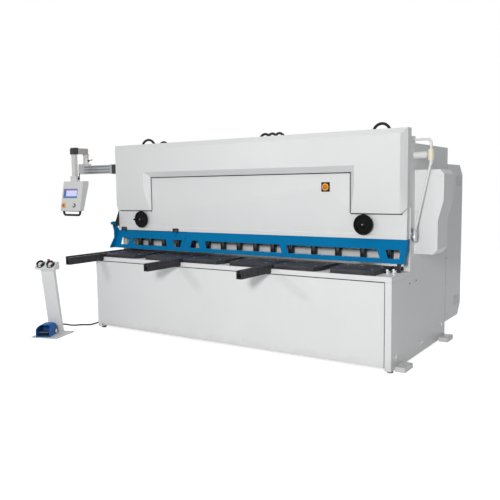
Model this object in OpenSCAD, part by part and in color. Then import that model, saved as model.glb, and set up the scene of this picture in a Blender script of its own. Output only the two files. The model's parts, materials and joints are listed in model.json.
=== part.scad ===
// Hydraulic guillotine shear: two-cylinder ram with raked blade, hold-downs, back gauge,
// operator pendant on a swing arm, and a pedestal with console and hooded foot pedal.
// Millimetres, X to the right, Y to the back, Z up.
// The origin is the centre of the four anchor bolts, at floor level.

/* [Frame] */
// Width over the two side frames
machine_w = 3600; // [3400:10:3900]
// Thickness of each side frame
frame_t = 60; // [40:1:70]
// Depth of the side frames
frame_d = 1550; // [1500:10:1700]
// Height of the side frames above the floor
frame_h = 2000; // [1990:1:2040]
// Gap between the floor and the side frames
floor_gap = 20; // [14:1:30]
// Depth of the table in front of the upper frame
table_d = 450; // [440:1:470]
// Height of the table plate's top face
table_h = 845; // [820:1:860]
// Thickness of the table plate
table_t = 45; // [30:1:55]
// Diameter of the two tapped holes in each side frame
frame_hole_d = 16; // [8:1:24]
// Height of those holes below the table plate's top face
frame_hole_drop = 107; // [70:1:140]
// Width over flats of the side bolts' heads
bolt_d = 38; // [24:1:50]
// Height of the side bolts' heads
bolt_head = 14; // [8:1:20]

/* [Feet] */
// Length of an anchor foot
foot_l = 200; // [150:5:240]
// Reach of an anchor foot beyond the side frame
foot_w = 90; // [70:5:120]
// Height of an anchor foot
foot_h = 45; // [30:1:60]
// Distance from the frame's front edge to the front anchor feet
foot_inset = 100; // [60:5:140]
// Diameter of the anchor bolt holes
anchor_d = 26; // [18:1:32]
// Diameter of the levelling pads
level_d = 54; // [40:1:58]
// Thickness of the levelling pads
level_t = 12; // [6:1:13]

/* [Cross beams] */
// Depth of the top front beam
beam_d = 104; // [90:1:120]
// Height of the top front beam
beam_h = 360; // [320:5:400]
// Height of the top front beam above the side frames
beam_rise = 60; // [40:1:80]
// Wall of the top front beam
beam_wall = 20; // [12:1:26]
// Diameter of the lifting holes in the top front beam
lift_d = 30; // [20:1:40]
// Depth of the beam that carries the ram cylinders
bridge_d = 200; // [190:1:220]
// Height of the beam that carries the ram cylinders
bridge_h = 140; // [120:1:160]
// Depth and height of the rear tie
tie_s = 100; // [80:1:140]
// Height of the rear tie above the floor
tie_z = 160; // [120:1:200]

/* [Table] */
// Height of the black table plates
plate_t = 40; // [30:1:50]
// Depth of the black table plates
plate_d = 400; // [360:1:410]
// Setback of the black table plates behind the table's front edge
plate_inset = 20; // [10:1:30]
// Width of a hand gap between two plates
hand_gap = 80; // [60:1:100]
// Depth of the hand gap's slanted mouth
hand_mouth = 90; // [60:1:120]
// Width of a support arm
arm_w = 60; // [50:1:70]
// Height of a support arm
arm_h = 78; // [70:1:84]
// Reach of the support arms in front of the table
arm_reach = 500; // [400:10:600]
// Wall of a support arm
arm_wall = 8; // [5:1:10]
// Clearance between an arm and the plates beside it
arm_gap = 10; // [5:1:15]
// Width of the arms' slot
slot_w = 14; // [10:1:18]
// Depth of the arms' slot lips
slot_d = 10; // [8:1:12]
// Height of the squaring fence above the plates
fence_h = 14; // [8:1:20]
// Width of the squaring fence
fence_w = 18; // [12:1:20]
// Depth of the bed beam under the table
bed_d = 80; // [60:1:100]
// Height of the bed beam under the table plate
bed_h = 500; // [400:5:520]
// Thickness of the bed's ribs
rib_t = 25; // [15:1:40]
// Thickness of the front sheet panel
panel_t = 4; // [2:0.5:6]
// Gap between the front sheet panel and the table plate
panel_gap = 8; // [4:1:12]
// Height of the front sheet panel's lower edge
panel_z = 45; // [30:1:80]

/* [Blades] */
// Distance from the table's front edge to the cutting line
cut_d = 625; // [610:1:660]
// Height of a blade
blade_h = 80; // [60:1:80]
// Thickness of a blade
blade_t = 22; // [18:1:28]
// Gap between the blades
blade_gap = 0.5; // [0.3:0.1:1]
// Rake angle of the upper blade
rake = 1.4; // [0.8:0.1:1.6]
// Opening over the table plates at the low end of the upper blade
blade_open = 25; // [15:1:35]

/* [Ram] */
// Thickness of the ram's plate
ram_t = 40; // [30:1:50]
// Depth of the ram over its flanges
ram_d = 150; // [146:1:170]
// Share of the height between the table plates and the cylinders' beam that the ram takes
ram_share = 0.47; // [0.44:0.01:0.49]
// Thickness of the ram's flanges and ribs
ram_web = 30; // [20:1:36]
// Height of the ram's lower flange above the table plates
ram_flange_z = 205; // [195:1:240]
// Side clearance between the ram and the side frames
ram_side = 50; // [40:1:60]
// Clearance of the ram's shoes in their guides
shoe_gap = 0.4; // [0.2:0.1:0.8]
// Width of a ram shoe
shoe_w = 60; // [50:1:70]
// Width of a guide bar
guide_w = 40; // [30:1:45]
// Diameter of the cylinder barrels
barrel_d = 170; // [160:1:176]
// Bore of the cylinder barrels
bore_d = 140; // [130:1:144]
// Diameter of the piston rods
rod_d = 80; // [60:1:90]
// Radial running clearance of pistons, rods and shafts
fit = 0.05; // [0.03:0.01:0.1]
// Distance from the side frame's inner face to a cylinder's axis
cyl_inset = 290; // [260:5:340]
// Stroke of the ram
stroke = 130; // [120:1:135]

/* [Hold-downs] */
// Distance from the table's front edge to the hold-downs' axes
hold_d = 520; // [515:1:525]
// Diameter of a hold-down cylinder
hold_cyl_d = 64; // [56:1:70]
// Length of a hold-down cylinder
hold_cyl_h = 118; // [110:1:120]
// Diameter of a hold-down plunger
plunger_d = 44; // [36:1:48]
// Diameter of a hold-down pad
pad_d = 58; // [50:1:62]
// Thickness of a hold-down pad
pad_t = 12; // [8:1:14]
// Stroke of the hold-downs
hold_stroke = 38; // [30:1:40]
// Depth of the hold-down beam
hold_beam_d = 80; // [76:1:90]
// Height of the hold-down beam
hold_beam_h = 240; // [200:5:280]
// Distance from a side frame to the nearest hold-down
hold_margin = 160; // [140:1:200]
// First pitch at the squaring side
hold_pitch_first = 165; // [140:1:190]
// Wide pitch at the far side
hold_pitch_wide = 265; // [240:1:280]

/* [Front cover] */
// Depth of the front cover in front of the upper frame
cover_d = 140; // [130:1:150]
// Height of the front cover's top edge above the side frames
cover_rise = 130; // [110:1:150]
// Height of the lower ends of the cover's two drops above the recessed panel's lower edge
drop_rise = 234; // [224:1:264]
// Bevel along the cover's outer upright edges
cover_bevel = 53; // [40:1:60]
// Cut across the lower outer corners of the drops
cover_corner = 50; // [30:1:60]
// Width of one drop beside the recess
drop_w = 550; // [500:1:600]
// Height of the cover above the recess
band_h = 380; // [350:1:410]
// Shadow gap between the recess' edge and the recessed panel
recess_gap = 10; // [4:1:14]
// Thickness of the cover's sheet
cover_t = 4; // [2:0.5:6]

/* [Front panel] */
// Depth of the recessed panel in front of the upper frame
sheet_d = 70; // [66:1:74]
// Height of the recessed panel's lower edge above the table plates
sheet_rise = 251; // [241:1:265]
// Height of the hem band at the panel's lower edge
hem_h = 36; // [24:1:50]
// Step of the hem in front of the panel
hem_step = 6; // [3:1:8]
// Distance from the machine's end to a handwheel's axis
wheel_inset = 410; // [380:1:430]
// Height of the handwheels' axes above the recessed panel's lower edge
wheel_rise = 130; // [126:1:139]
// Diameter of a handwheel
wheel_d = 190; // [160:1:200]
// Diameter of a handwheel's shaft
wheel_shaft_d = 24; // [18:1:30]
// Position of the front emergency stop from the middle
stop_x = 984; // [900:1:1050]
// Distance from the recess' upper edge to the front emergency stop
stop_drop = 134; // [100:1:190]
// Diameter of an emergency stop's mushroom head
stop_d = 40; // [34:1:46]
// Diameter of a push button's stem
stem_d = 20; // [14:1:22]
// Travel of the push buttons
press = 5; // [3:1:6]

/* [Finger guard] */
// Height of the guard's lower edge above the table plates
guard_lift = 40; // [38:1:46]
// How far the guard's lower edge stands in front of its upper edge
guard_flare = 80; // [60:1:90]
// Thickness of the guard's sheet
guard_t = 5; // [3:1:7]
// Depth of the lip along the guard's lower edge
guard_lip = 45; // [30:1:55]
// Length of the hinged flap at the left
flap_l = 1058; // [1000:1:1100]
// Gap between the flap and the fixed guard
flap_gap = 4; // [2:1:6]
// Height of the windows
window_h = 78; // [60:1:90]
// Height of the windows' lower edge above the table plates
window_z = 82; // [70:1:90]
// Slant of the windows' ends
window_slant = 42; // [20:1:50]
// Diameter of a hinge barrel
barrel_hinge_d = 16; // [14:1:18]
// Diameter of a hinge pin
hinge_pin_d = 8; // [6:1:9]

/* [Back gauge] */
// Distance from the machine's middle to a gauge rail
gauge_x = 1100; // [900:10:1200]
// Height of the gauge rails' lower face above the table plates
rail_rise = 235; // [230:1:250]
// Width and height of a gauge rail
rail_s = 60; // [50:1:70]
// Diameter of the gauge screws
screw_d = 32; // [25:1:36]
// Diameter of the gauge's cross shaft
cross_d = 25; // [20:1:30]
// Distance from the cutting line to the gauge fingers at rest
gauge_rest = 450; // [430:1:470]
// Length of the gauge fingers
finger_l = 150; // [140:1:160]
// Height of the gauge beam
gauge_h = 100; // [90:1:105]

/* [Rear] */
// Depth of the rear guards
guard_d = 580; // [520:5:640]
// Height of the rear guards' lower edge
guard_low = 170; // [120:5:220]
// Distance from the side frames' top to the rear guards' upper edge
guard_drop = 166; // [120:2:220]
// Width of the rear guards' folded edge
guard_fold = 40; // [25:1:50]
// Width of a louvre
louvre_w = 14; // [8:1:18]
// Height of a louvre
louvre_h = 110; // [80:1:130]
// Depth of the oil tank
tank_d = 380; // [340:5:420]
// Distance from the side frames' top to the oil tank's lid
tank_drop = 120; // [110:5:150]
// Share of the height between the gauge rails and the side frames' top that stays free below the tank
tank_share = 0.39; // [0.36:0.01:0.44]

/* [Right flank] */
// Reach of the side housing beyond the side frame
housing_w = 265; // [220:1:300]
// Depth of the side housing
housing_d = 300; // [260:1:340]
// Height of the side housing's lower face
housing_z = 995; // [960:1:1040]
// Distance from the side frames' top to the side housing's top
housing_drop = 240; // [200:1:280]
// Diameter of the shaft stub
stub_d = 64; // [50:1:80]
// Reach of the shaft stub's fitting beyond the side frame
stub_l = 150; // [135:1:160]
// Diameter of the side pipe
pipe_d = 24; // [18:1:30]

/* [Pendant] */
// Length of the pendant's rail beyond the side frame
boom_l = 810; // [760:5:860]
// Height of the rail's section
boom_h = 105; // [90:1:120]
// Depth of the rail's section
boom_d = 80; // [70:1:90]
// Distance from the side frames' top to the rail's lower face
boom_drop = 185; // [160:1:210]
// Length of the clamp that holds the rail at the side frame
clamp_l = 230; // [210:1:250]
// Distance from the rail's free end to the arm's pivot
pivot_inset = 105; // [80:1:120]
// Distance from the arm's pivot to the pendant's tube
swing_l = 190; // [180:1:210]
// Diameter of the pivot pins
pivot_d = 40; // [30:1:44]
// Width of the pendant box
pendant_w = 360; // [330:1:390]
// Height of the pendant box
pendant_h = 367; // [340:1:390]
// Tilt of the pendant's face
pendant_tilt = 11; // [5:1:14]
// Depth of the pendant box at its top
pendant_d = 85; // [80:1:100]
// Width of the screen
screen_w = 235; // [215:1:255]
// Height of the screen
screen_h = 102; // [90:1:112]

/* [Pedestal] */
// Distance from the left side frame to the pedestal's middle
ped_out = 170; // [160:1:210]
// Distance from the table's front edge to the pedestal's middle
ped_front = 520; // [515:1:555]
// Turn of the pedestal about the vertical
ped_turn = 17; // [15:1:19]
// Width of the base plate
base_w = 320; // [300:5:360]
// Depth of the base plate
base_d = 365; // [355:5:400]
// Thickness of the base plate
base_t = 10; // [6:1:14]
// Width of the column
column_w = 165; // [150:1:190]
// Depth of the column
column_d = 42; // [36:1:56]
// Height of the column's upper end
column_h = 742; // [700:1:780]
// Forward lean of the column
lean = 9; // [7:0.5:10]
// Width of the console
console_w = 240; // [220:1:260]
// Depth of the console
console_d = 112; // [110:1:125]
// Height of the console
console_h = 82; // [76:1:90]
// Width of the pedal's hood
hood_w = 160; // [150:1:180]
// Depth of the pedal's hood
hood_d = 200; // [190:1:210]
// Height of the pedal's hood
hood_h = 125; // [115:1:140]
// Wall of the pedal's hood
hood_t = 7; // [4:1:9]
// Diameter of the cable from the pedestal to the machine
cable_d = 18; // [14:1:18]

/* [Hidden] */
$fn = 48;
eps = 0.5;
// Clearance between a sheet and the plate that it is screwed to
seat = 0.4;

// Colours
white = [0.9, 0.9, 0.89];
grey = [0.62, 0.63, 0.65];
black = [0.09, 0.09, 0.1];
blue = [0.0, 0.45, 0.72];
steel = [0.72, 0.73, 0.75];
red = [0.8, 0.1, 0.08];
orange = [0.95, 0.5, 0.1];

// Main planes
hw = machine_w / 2;
inner_x = hw - frame_t;
front_y = -(foot_inset + frame_d) / 2;
rear_y = front_y + frame_d;
upper_y = front_y + table_d;
cut_y = front_y + cut_d;
shelf_z = table_h - table_t;
sheet_z = table_h + plate_t;
beam_top = frame_h + beam_rise;
beam_bottom = beam_top - beam_h;
beam_back = upper_y + beam_d;
anchor_x = hw + foot_w / 2;
anchor_y = (frame_d - foot_inset - foot_l) / 2;
side_bolts = [[87, 135], [773, 121], [1385, 175]];
frame_holes = [540, 617];
level_inset = 60;
level_stem_d = 24;
lift_drop = 84;

// Table
plate_y = front_y + plate_inset;
plate_back = plate_y + plate_d;
arm_bottom = sheet_z - arm_h;
arm_tip = front_y - arm_reach;
squaring_x = -hw + 100;
arm_xs = [squaring_x, -550, 570];
plate_end_x = hw - 160;
slot_tee_w = 2.2 * slot_w;
slot_tee_h = slot_d;
arm_pocket = 60;
post_w = 30;
post_x = hw - 55;
ledge_d = 160;
ledge_gap = 2;
bed_ribs = [-0.8, -0.4, 0, 0.4, 0.8];
panel_return = 25;

// Ram, blades and cylinders
ram_x = inner_x - ram_side;
ram_y = cut_y + blade_gap + blade_t;
bridge_top = frame_h - 20;
ram_top = sheet_z + ram_share * (bridge_top - sheet_z);
blade_low = sheet_z + blade_open;
rake_rise = 2 * ram_x * tan(rake);
blade_tuck = 10;
flange_z = sheet_z + ram_flange_z;
shoe_x = inner_x - 5;
shoe_y = ram_y + ram_t / 2;
shoe_rise = 115;
shoe_z = sheet_z + shoe_rise;
shoe_drop = 20;
shoe_h = ram_top - shoe_drop - shoe_z;
guide_rise = 15;
guide_z = sheet_z + guide_rise;
guide_gap = 8;
cyl_x = inner_x - cyl_inset;
cyl_y = ram_y + ram_d / 2;
boss_h = 60;
boss_d = ram_d - 10;
gland_gap = 30;
gland_z = ram_top + boss_h + stroke + gland_gap;
gland_h = 40;
guide_drop = 100;
guide_h = gland_z - guide_drop - guide_z;
flange_cyl_d = barrel_d + 26;
flange_cyl_t = 30;
cap_h = 40;
cap_top = bridge_top + flange_cyl_t + cap_h;
piston_h = 50;
piston_top = bridge_top + 10;

// Hold-downs
hold_y = front_y + hold_d;
hold_z = sheet_z + hold_stroke + ledge_gap;
hold_beam_rise = 175;
hold_beam_z = sheet_z + hold_beam_rise;
hold_wide = 4;
hold_mid = 9;
hold_span = 2 * (inner_x - hold_margin);
hold_pitch = (hold_span - hold_pitch_first - hold_wide * hold_pitch_wide) / hold_mid;
function hold_x(i) = hold_margin - inner_x + hold_pitch_first * min(i, 1)
  + hold_pitch * min(max(i - 1, 0), hold_mid) + hold_pitch_wide * max(i - 1 - hold_mid, 0);
hold_count = 2 + hold_mid + hold_wide;
hold_wall = 16;

// Cover, panel and guard
sheet_low = sheet_z + sheet_rise;
cover_y = upper_y - cover_d;
cover_top = frame_h + cover_rise;
cover_low = sheet_low + drop_rise;
recess_step = cover_d - sheet_d - recess_gap;
recess_top = cover_top - band_h;
recess_x = hw - drop_w;
sheet_y = upper_y - sheet_d;
sheet_lap = 50;
sheet_top = recess_top + sheet_lap;
hem_y = sheet_y - hem_step;
sheet_side = hw - 8;
wheel_x = hw - wheel_inset;
wheel_z = sheet_low + wheel_rise;
wheel_boss_d = 60;
wheel_boss_l = 26;
wheel_t = 26;
stop_z = recess_top - stop_drop;
stop_collar_d = 34;
stop_collar_l = 12;
stop_head = 16;
guard_z = sheet_z + guard_lift;
guard_y = hem_y + 4;
flap_x = -hw + flap_l;
hinge_y = hem_y - 10;
hinge_z = sheet_low - 2;
hinge_xs = [103, 905];
knuckle_l = 20;
knuckle_gap = 1;
tongue_l = 38;

// Window ends at their lower edge, from the left end of the machine; a 1 marks a slanted end
flap_windows = [[94, 213, 0, 0], [311, 818, 1, 1], [925, 1015, 1, 0]];
fixed_windows = [[1154, 1282, 0, 1], [1381, 2326, 1, 1], [2404, 3362, 1, 1], [3443, 3546, 1, 0]];

// Back gauge
rail_z = sheet_z + rail_rise;
rail_groove = 10;
screw_z = rail_z - 40;
rail_inset = 180;
rail_front = cut_y + rail_inset;
rail_over = 175;
rail_back = rear_y + rail_over;
bearing_l = 30;
bearing_w = 80;
gear_s = 100;
finger_y = cut_y + gauge_rest;
finger_w = 50;
finger_t = 40;
finger_z = sheet_z + 5;
finger_xs = [-1300, -450, 450, 1300];
gauge_y = finger_y + finger_l;
gauge_d = 80;
gauge_half = inner_x - 140;
carriage_rise = 155;
carriage_z = sheet_z + carriage_rise;
carriage_y = gauge_y - 10;
carriage_l = 120;
carriage_w = 50;
carriage_gap = 0.4;
cross_y = rail_back + gear_s * 0.65;
motor_d = 110;
motor_l = 180;

// Rear
tank_inset = 380;
tank_y = cut_y + tank_inset;
tank_top = frame_h - tank_drop;
tank_z = rail_z + rail_s + tank_share * (frame_h - rail_z - rail_s);
tank_h = tank_top - tank_z;
lid_t = 8;
drain_d = 26;
drain_rise = 50;
guard_top = frame_h - guard_drop;
valve_ports = [0, 90, 180];
hanger_t = 30;
chute_t = 4;
chute_y = cut_y + 50;
chute_z = sheet_z - 143;
chute_l = 1150;
chute_drop = 412;
chute_rim = 50;
louvre_pitch = 42;
louvre_count = 5;

// Right flank
housing_y = beam_back - 4;
housing_top = frame_h - housing_drop;
housing_h = housing_top - housing_z;
waist_top = 0.4;
shoulder = 0.65;
stub_y = beam_back - 18;
stub_z = frame_h - 110;
fitting_d = 56;
fitting_h = 98;
pipe_top = beam_top - 30;
pipe_r = 40;
pipe_foot = [hw + 28, upper_y + 30, 1195];

// Pendant
boom_y = upper_y + 50;
boom_z = frame_h - boom_drop;
boom_x = -hw - boom_l;
boom_top = boom_z + boom_h;
boom_groove = 8;
pend_x = boom_x + pivot_inset;
pivot_y = boom_y + boom_d / 2;
collar_d = 72;
collar_z = boom_top + 25;
collar_h = 75;
collar_top = collar_z + collar_h;
arm_z = collar_top + 45;
arm_sec_h = 72;
arm_sec_w = 60;
tube_w = 60;
tube_d = 45;
tube_y = pivot_y - swing_l;
corner_w = 72;
head_top = boom_z - 25;
head_h = 66;
head_w = 110;
head_d = 60;
pend_top = head_top - head_h;
box_x = pend_x + 25;
pend_bottom = pend_top - pendant_h;
face_lead = 10;
pend_face = tube_y - pendant_d / 2 - face_lead;
pend_shift = pendant_h * tan(pendant_tilt);
pend_low_d = 60;
handle_d = 28;
handle_drop = 52;
handle_half = 150;
screen_t = 3;
screen_down = 102;
screen_x = -30;
button_down = 305;
pend_stop_x = -125;
pend_button_x = 62;
lever_d = 10;
lever_l = 62;
lever_hub_d = 20;
lever_hub_l = 22;

// Pedestal
ped_x = -hw - ped_out;
ped_y = front_y - ped_front;
column_x = -40;
column_y = 130;
lean_shift = (column_h - base_t) * tan(lean);
console_y = column_y - lean_shift - 14;
palm_x = 64;
palm_d = 48;
palm_ring_d = 84;
palm_ring_t = 6;
palm_ring_h = 30;
console_back = console_y + console_d / 2;
console_z = column_h + console_h;
console_slope = 40;
console_flat = 44;
console_edge = console_d - console_flat;
hood_y = -66;
hood_r = 45;
hood_turn = 12;
pedal_pin_d = 10;
pedal_pin_z = 28;
pedal_pin_back = 40;
pedal_t = 10;
pedal_w = 110;
pedal_tilt = 8;
gland_d = 34;
gland_l = 36;
gland_rise = 50;
frame_gland = [-hw, front_y + 50, 60];

// Ends of the cable, inside the pedestal's gland and inside the frame's gland
lead_in = 20;
lead_out = 26;
gland_y = column_y + column_d / 2 - gland_rise * tan(lean);
cable_start = from_pedestal([
  column_x, gland_y + lead_in * cos(lean), base_t + gland_rise + lead_in * sin(lean)]);
cable_end = frame_gland - [lead_out, 0, 0];
function from_pedestal(p) = [
  ped_x + p.x * cos(ped_turn) - p.y * sin(ped_turn),
  ped_y + p.x * sin(ped_turn) + p.y * cos(ped_turn), p.z];

// Turns of the cable: share of the way between its ends, offset to the left of that way, height
cable_turns = [
  [0.042, 21, 67], [0.100, 49, 70], [0.162, 78, 62], [0.222, 106, 44],
  [0.283, 131, 24], [0.349, 154, 12], [0.420, 171, 10], [0.497, 180, 10],
  [0.574, 180, 10], [0.649, 170, 10], [0.715, 151, 10], [0.775, 126, 12],
  [0.830, 99, 22], [0.880, 74, 38], [0.929, 47, 52], [0.973, 20, 60]];
cable_way = [cable_end.x - cable_start.x, cable_end.y - cable_start.y, 0];
cable_left = unit([-cable_way.y, cable_way.x, 0]);
cable_route = concat(
  [cable_start],
  [for (t = cable_turns) [cable_start.x, cable_start.y, t[2]] + t[0] * cable_way + t[1] * cable_left],
  [cable_end]);
cable_sides = 10;

// Points of an outline, listed anticlockwise, moved inwards by t
function inset(p, t) = [
  for (i = [0:len(p) - 1])
    let (
      n = len(p),
      u = unit(p[i] - p[(i + n - 1) % n]),
      v = unit(p[(i + 1) % n] - p[i]),
      a = [-u.y, u.x],
      b = [-v.y, v.x])
      p[i] + (a + b) * t / (1 + a * b)];
function unit(v) = v / norm(v);

// Box between two corners
module block(lo, hi) {
  translate(lo) cube(hi - lo);
}

// Outline in Y and Z, run along X
module run_x(x0, x1) {
  translate([x0, 0, 0]) rotate([90, 0, 90]) linear_extrude(x1 - x0) children();
}

// Outline in X and Z, run along Y
module run_y(y0, y1) {
  translate([0, y1, 0]) rotate([90, 0, 0]) linear_extrude(y1 - y0) children();
}

// Round bar along X
module rod_x(at, d, l) {
  translate(at) rotate([0, 90, 0]) cylinder(d = d, h = l);
}

// Round bar along Y
module rod_y(at, d, l) {
  translate(at) rotate([-90, 0, 0]) cylinder(d = d, h = l);
}

// Round bar between two points, turned so that its seam stays off the faces it enters
module rod_between(a, b, d) {
  v = b - a;
  translate(a) rotate([0, acos(v.z / norm(v)), atan2(v.y, v.x)]) rotate([0, 0, 40])
    cylinder(d = d, h = norm(v));
}

module both_sides() {
  children();
  mirror([1, 0, 0]) children();
}

// Side frames, feet and beams

module side_frame() {
  difference() {
    run_x(inner_x, hw) polygon([
      [front_y, floor_gap], [rear_y, floor_gap], [rear_y, frame_h], [beam_back, frame_h],
      [beam_back, beam_bottom], [upper_y, beam_bottom], [upper_y, shelf_z], [front_y, shelf_z]]);
    for (y = frame_holes)
      rod_x([inner_x - eps, front_y + y, table_h - frame_hole_drop], frame_hole_d, frame_t + 2 * eps);
  }
}

module side_frame_left() {
  color(white) mirror([1, 0, 0]) side_frame();
}

module side_frame_right() {
  color(white) side_frame();
}

module frame_fasteners() {
  color(white) both_sides() {
    for (b = side_bolts)
      translate([hw, front_y + b[0], b[1]]) rotate([0, 90, 0]) cylinder(d = bolt_d, h = bolt_head, $fn = 6);
    for (y = [front_y + level_inset, rear_y - level_inset])
      translate([hw - frame_t / 2, y, 0]) levelling_screw();
  }
}

module levelling_screw() {
  cylinder(d = level_d, h = level_t);
  cylinder(d = level_stem_d, h = floor_gap);
}

module anchor_feet() {
  color(white) for (sx = [-1, 1], sy = [-1, 1])
    translate([sx * anchor_x, sy * anchor_y, 0]) difference() {
      translate([-foot_w / 2, -foot_l / 2, 0]) cube([foot_w, foot_l, foot_h]);
      translate([0, 0, -eps]) cylinder(d = anchor_d, h = foot_h + 2 * eps);
    }
}

module cross_beams() {
  color(white) {
    top_beam();
    bridge_beam();
    rear_tie();
  }
}

module top_beam() {
  difference() {
    block([-hw, upper_y, beam_bottom], [hw, beam_back, beam_top]);
    block(
      [-hw + beam_wall, upper_y + beam_wall, beam_bottom + beam_wall],
      [hw - beam_wall, beam_back + eps, beam_top - beam_wall]);
    rod_x([-hw - eps, upper_y + beam_d / 2, beam_top - lift_drop], lift_d, machine_w + 2 * eps);
  }
}

module bridge_beam() {
  bridge_wall = 8;
  y0 = cyl_y - bridge_d / 2;
  y1 = cyl_y + bridge_d / 2;
  difference() {
    block([-inner_x, y0, bridge_top - bridge_h], [inner_x, y1, bridge_top]);
    block(
      [-inner_x - eps, y0 + bridge_wall, bridge_top - bridge_h + beam_wall],
      [inner_x + eps, y1 - bridge_wall, bridge_top - beam_wall]);
    for (s = [-1, 1])
      translate([s * cyl_x, cyl_y, bridge_top - bridge_h - eps])
        cylinder(d = barrel_d + 2 * seat, h = bridge_h + 2 * eps);
  }
}

module rear_tie() {
  tie_wall = 10;
  difference() {
    block([-inner_x, rear_y - 2 * tie_s, tie_z], [inner_x, rear_y - tie_s, tie_z + tie_s]);
    block(
      [-inner_x - eps, rear_y - 2 * tie_s + tie_wall, tie_z + tie_wall],
      [inner_x + eps, rear_y - tie_s - tie_wall, tie_z + tie_s - tie_wall]);
  }
}

// Table

module table_bed() {
  bed_back = cut_y - blade_t;
  color(white) {
    block([-hw, front_y, shelf_z], [hw, upper_y, table_h]);
    block([-inner_x, upper_y, shelf_z], [inner_x, bed_back, table_h]);
    block([-inner_x, bed_back - ledge_d, table_h], [inner_x, bed_back, sheet_z - ledge_gap]);
    block([-inner_x, bed_back - bed_d, shelf_z - bed_h], [inner_x, bed_back, shelf_z]);
    for (k = bed_ribs)
      run_x(k * inner_x - rib_t / 2, k * inner_x + rib_t / 2) polygon([
        [front_y + 60, shelf_z], [front_y + 60, shelf_z - 80],
        [bed_back - bed_d, shelf_z - bed_h + 60], [bed_back - bed_d, shelf_z]]);
  }
}

module front_panel() {
  x = inner_x - seat;
  z = shelf_z - panel_gap;
  color(white) difference() {
    block([-x, front_y, panel_z], [x, front_y + panel_return, z]);
    block(
      [-x + panel_t, front_y + panel_t, panel_z + panel_t],
      [x - panel_t, front_y + panel_return + eps, z - panel_t]);
  }
}

module lower_blade() {
  color(steel) block([-ram_x, cut_y - blade_t, sheet_z - blade_h], [ram_x, cut_y, sheet_z]);
}

// One plate from x0 to x1; each end that meets a hand gap has a slanted mouth
module table_plate(x0, x1, gap_left, gap_right) {
  cut = hand_mouth / 2;
  rim = 14;
  color(black) intersection() {
    translate([0, 0, table_h]) linear_extrude(plate_t) polygon([
      [x0 + (gap_left ? cut : 0), plate_y], [x1 - (gap_right ? cut : 0), plate_y],
      [x1, plate_y + (gap_right ? hand_mouth : 0)], [x1, plate_back], [x0, plate_back],
      [x0, plate_y + (gap_left ? hand_mouth : 0)]]);
    run_x(x0 - eps, x1 + eps) polygon([
      [plate_y, table_h], [plate_back, table_h], [plate_back, sheet_z],
      [plate_y + rim, sheet_z], [plate_y, sheet_z - rim]]);
  }
}

module table_plates() {
  ends = [arm_xs[0], arm_xs[1], arm_xs[2], plate_end_x + arm_w / 2 + arm_gap];
  for (i = [0:2]) {
    x0 = ends[i] + arm_w / 2 + arm_gap;
    x1 = ends[i + 1] - arm_w / 2 - arm_gap;
    middle = (x0 + x1) / 2;
    table_plate(x0, middle - hand_gap / 2, false, true);
    table_plate(middle + hand_gap / 2, x1, true, false);
  }
  color(black) guard_post();
}

module guard_post() {
  y = guard_y - guard_flare + guard_lip / 2;
  block([post_x - post_w / 2, y - post_w / 2, table_h], [post_x + post_w / 2, y + post_w / 2, guard_z]);
}

module support_arm(x) {
  slot_z = sheet_z - slot_d;
  tee_z = slot_z - slot_tee_h;
  translate([x, 0, 0]) difference() {
    run_x(-arm_w / 2, arm_w / 2) polygon([
      [arm_tip, arm_bottom], [front_y, arm_bottom], [front_y, table_h],
      [plate_back, table_h], [plate_back, sheet_z], [arm_tip, sheet_z]]);
    block([-slot_w / 2, arm_tip - eps, slot_z - eps], [slot_w / 2, plate_back + eps, sheet_z + eps]);
    block([-slot_tee_w / 2, arm_tip - eps, tee_z], [slot_tee_w / 2, plate_back + eps, slot_z]);
    block(
      [-arm_w / 2 + arm_wall, arm_tip - eps, arm_bottom + arm_wall],
      [arm_w / 2 - arm_wall, arm_tip + arm_pocket, tee_z - arm_wall]);
  }
}

module squaring_arm() {
  x = squaring_x - arm_w / 2;
  color(black) {
    support_arm(squaring_x);
    block([x, arm_tip, sheet_z], [x + fence_w, plate_back, sheet_z + fence_h]);
  }
}

module support_arms() {
  color(black) {
    support_arm(arm_xs[1]);
    support_arm(arm_xs[2]);
  }
}

// Hold-downs

module holddown_beam() {
  y0 = hold_y - hold_beam_d / 2;
  y1 = hold_y + hold_beam_d / 2;
  color(white) difference() {
    block([-inner_x, y0, hold_beam_z], [inner_x, y1, hold_beam_z + hold_beam_h]);
    block(
      [-inner_x - eps, y0 + hold_wall, hold_beam_z + hold_wall],
      [inner_x + eps, y1 - hold_wall, hold_beam_z + hold_beam_h - hold_wall]);
  }
}

module holddown_cylinders() {
  roof = 8;
  z = hold_beam_z - hold_cyl_h;
  color(black) for (i = [0:hold_count - 1])
    translate([hold_x(i), hold_y, z]) difference() {
      cylinder(d = hold_cyl_d, h = hold_cyl_h);
      translate([0, 0, -eps]) cylinder(d = plunger_d + 2 * fit, h = hold_cyl_h - roof + eps);
    }
}

module holddown_plungers() {
  top_gap = 16;
  color(steel) for (i = [0:hold_count - 1])
    translate([hold_x(i), hold_y, hold_z]) {
      cylinder(d = pad_d, h = pad_t);
      cylinder(d = plunger_d, h = hold_beam_z - top_gap - hold_z);
    }
}

// Front cover, recessed panel and finger guard

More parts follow.
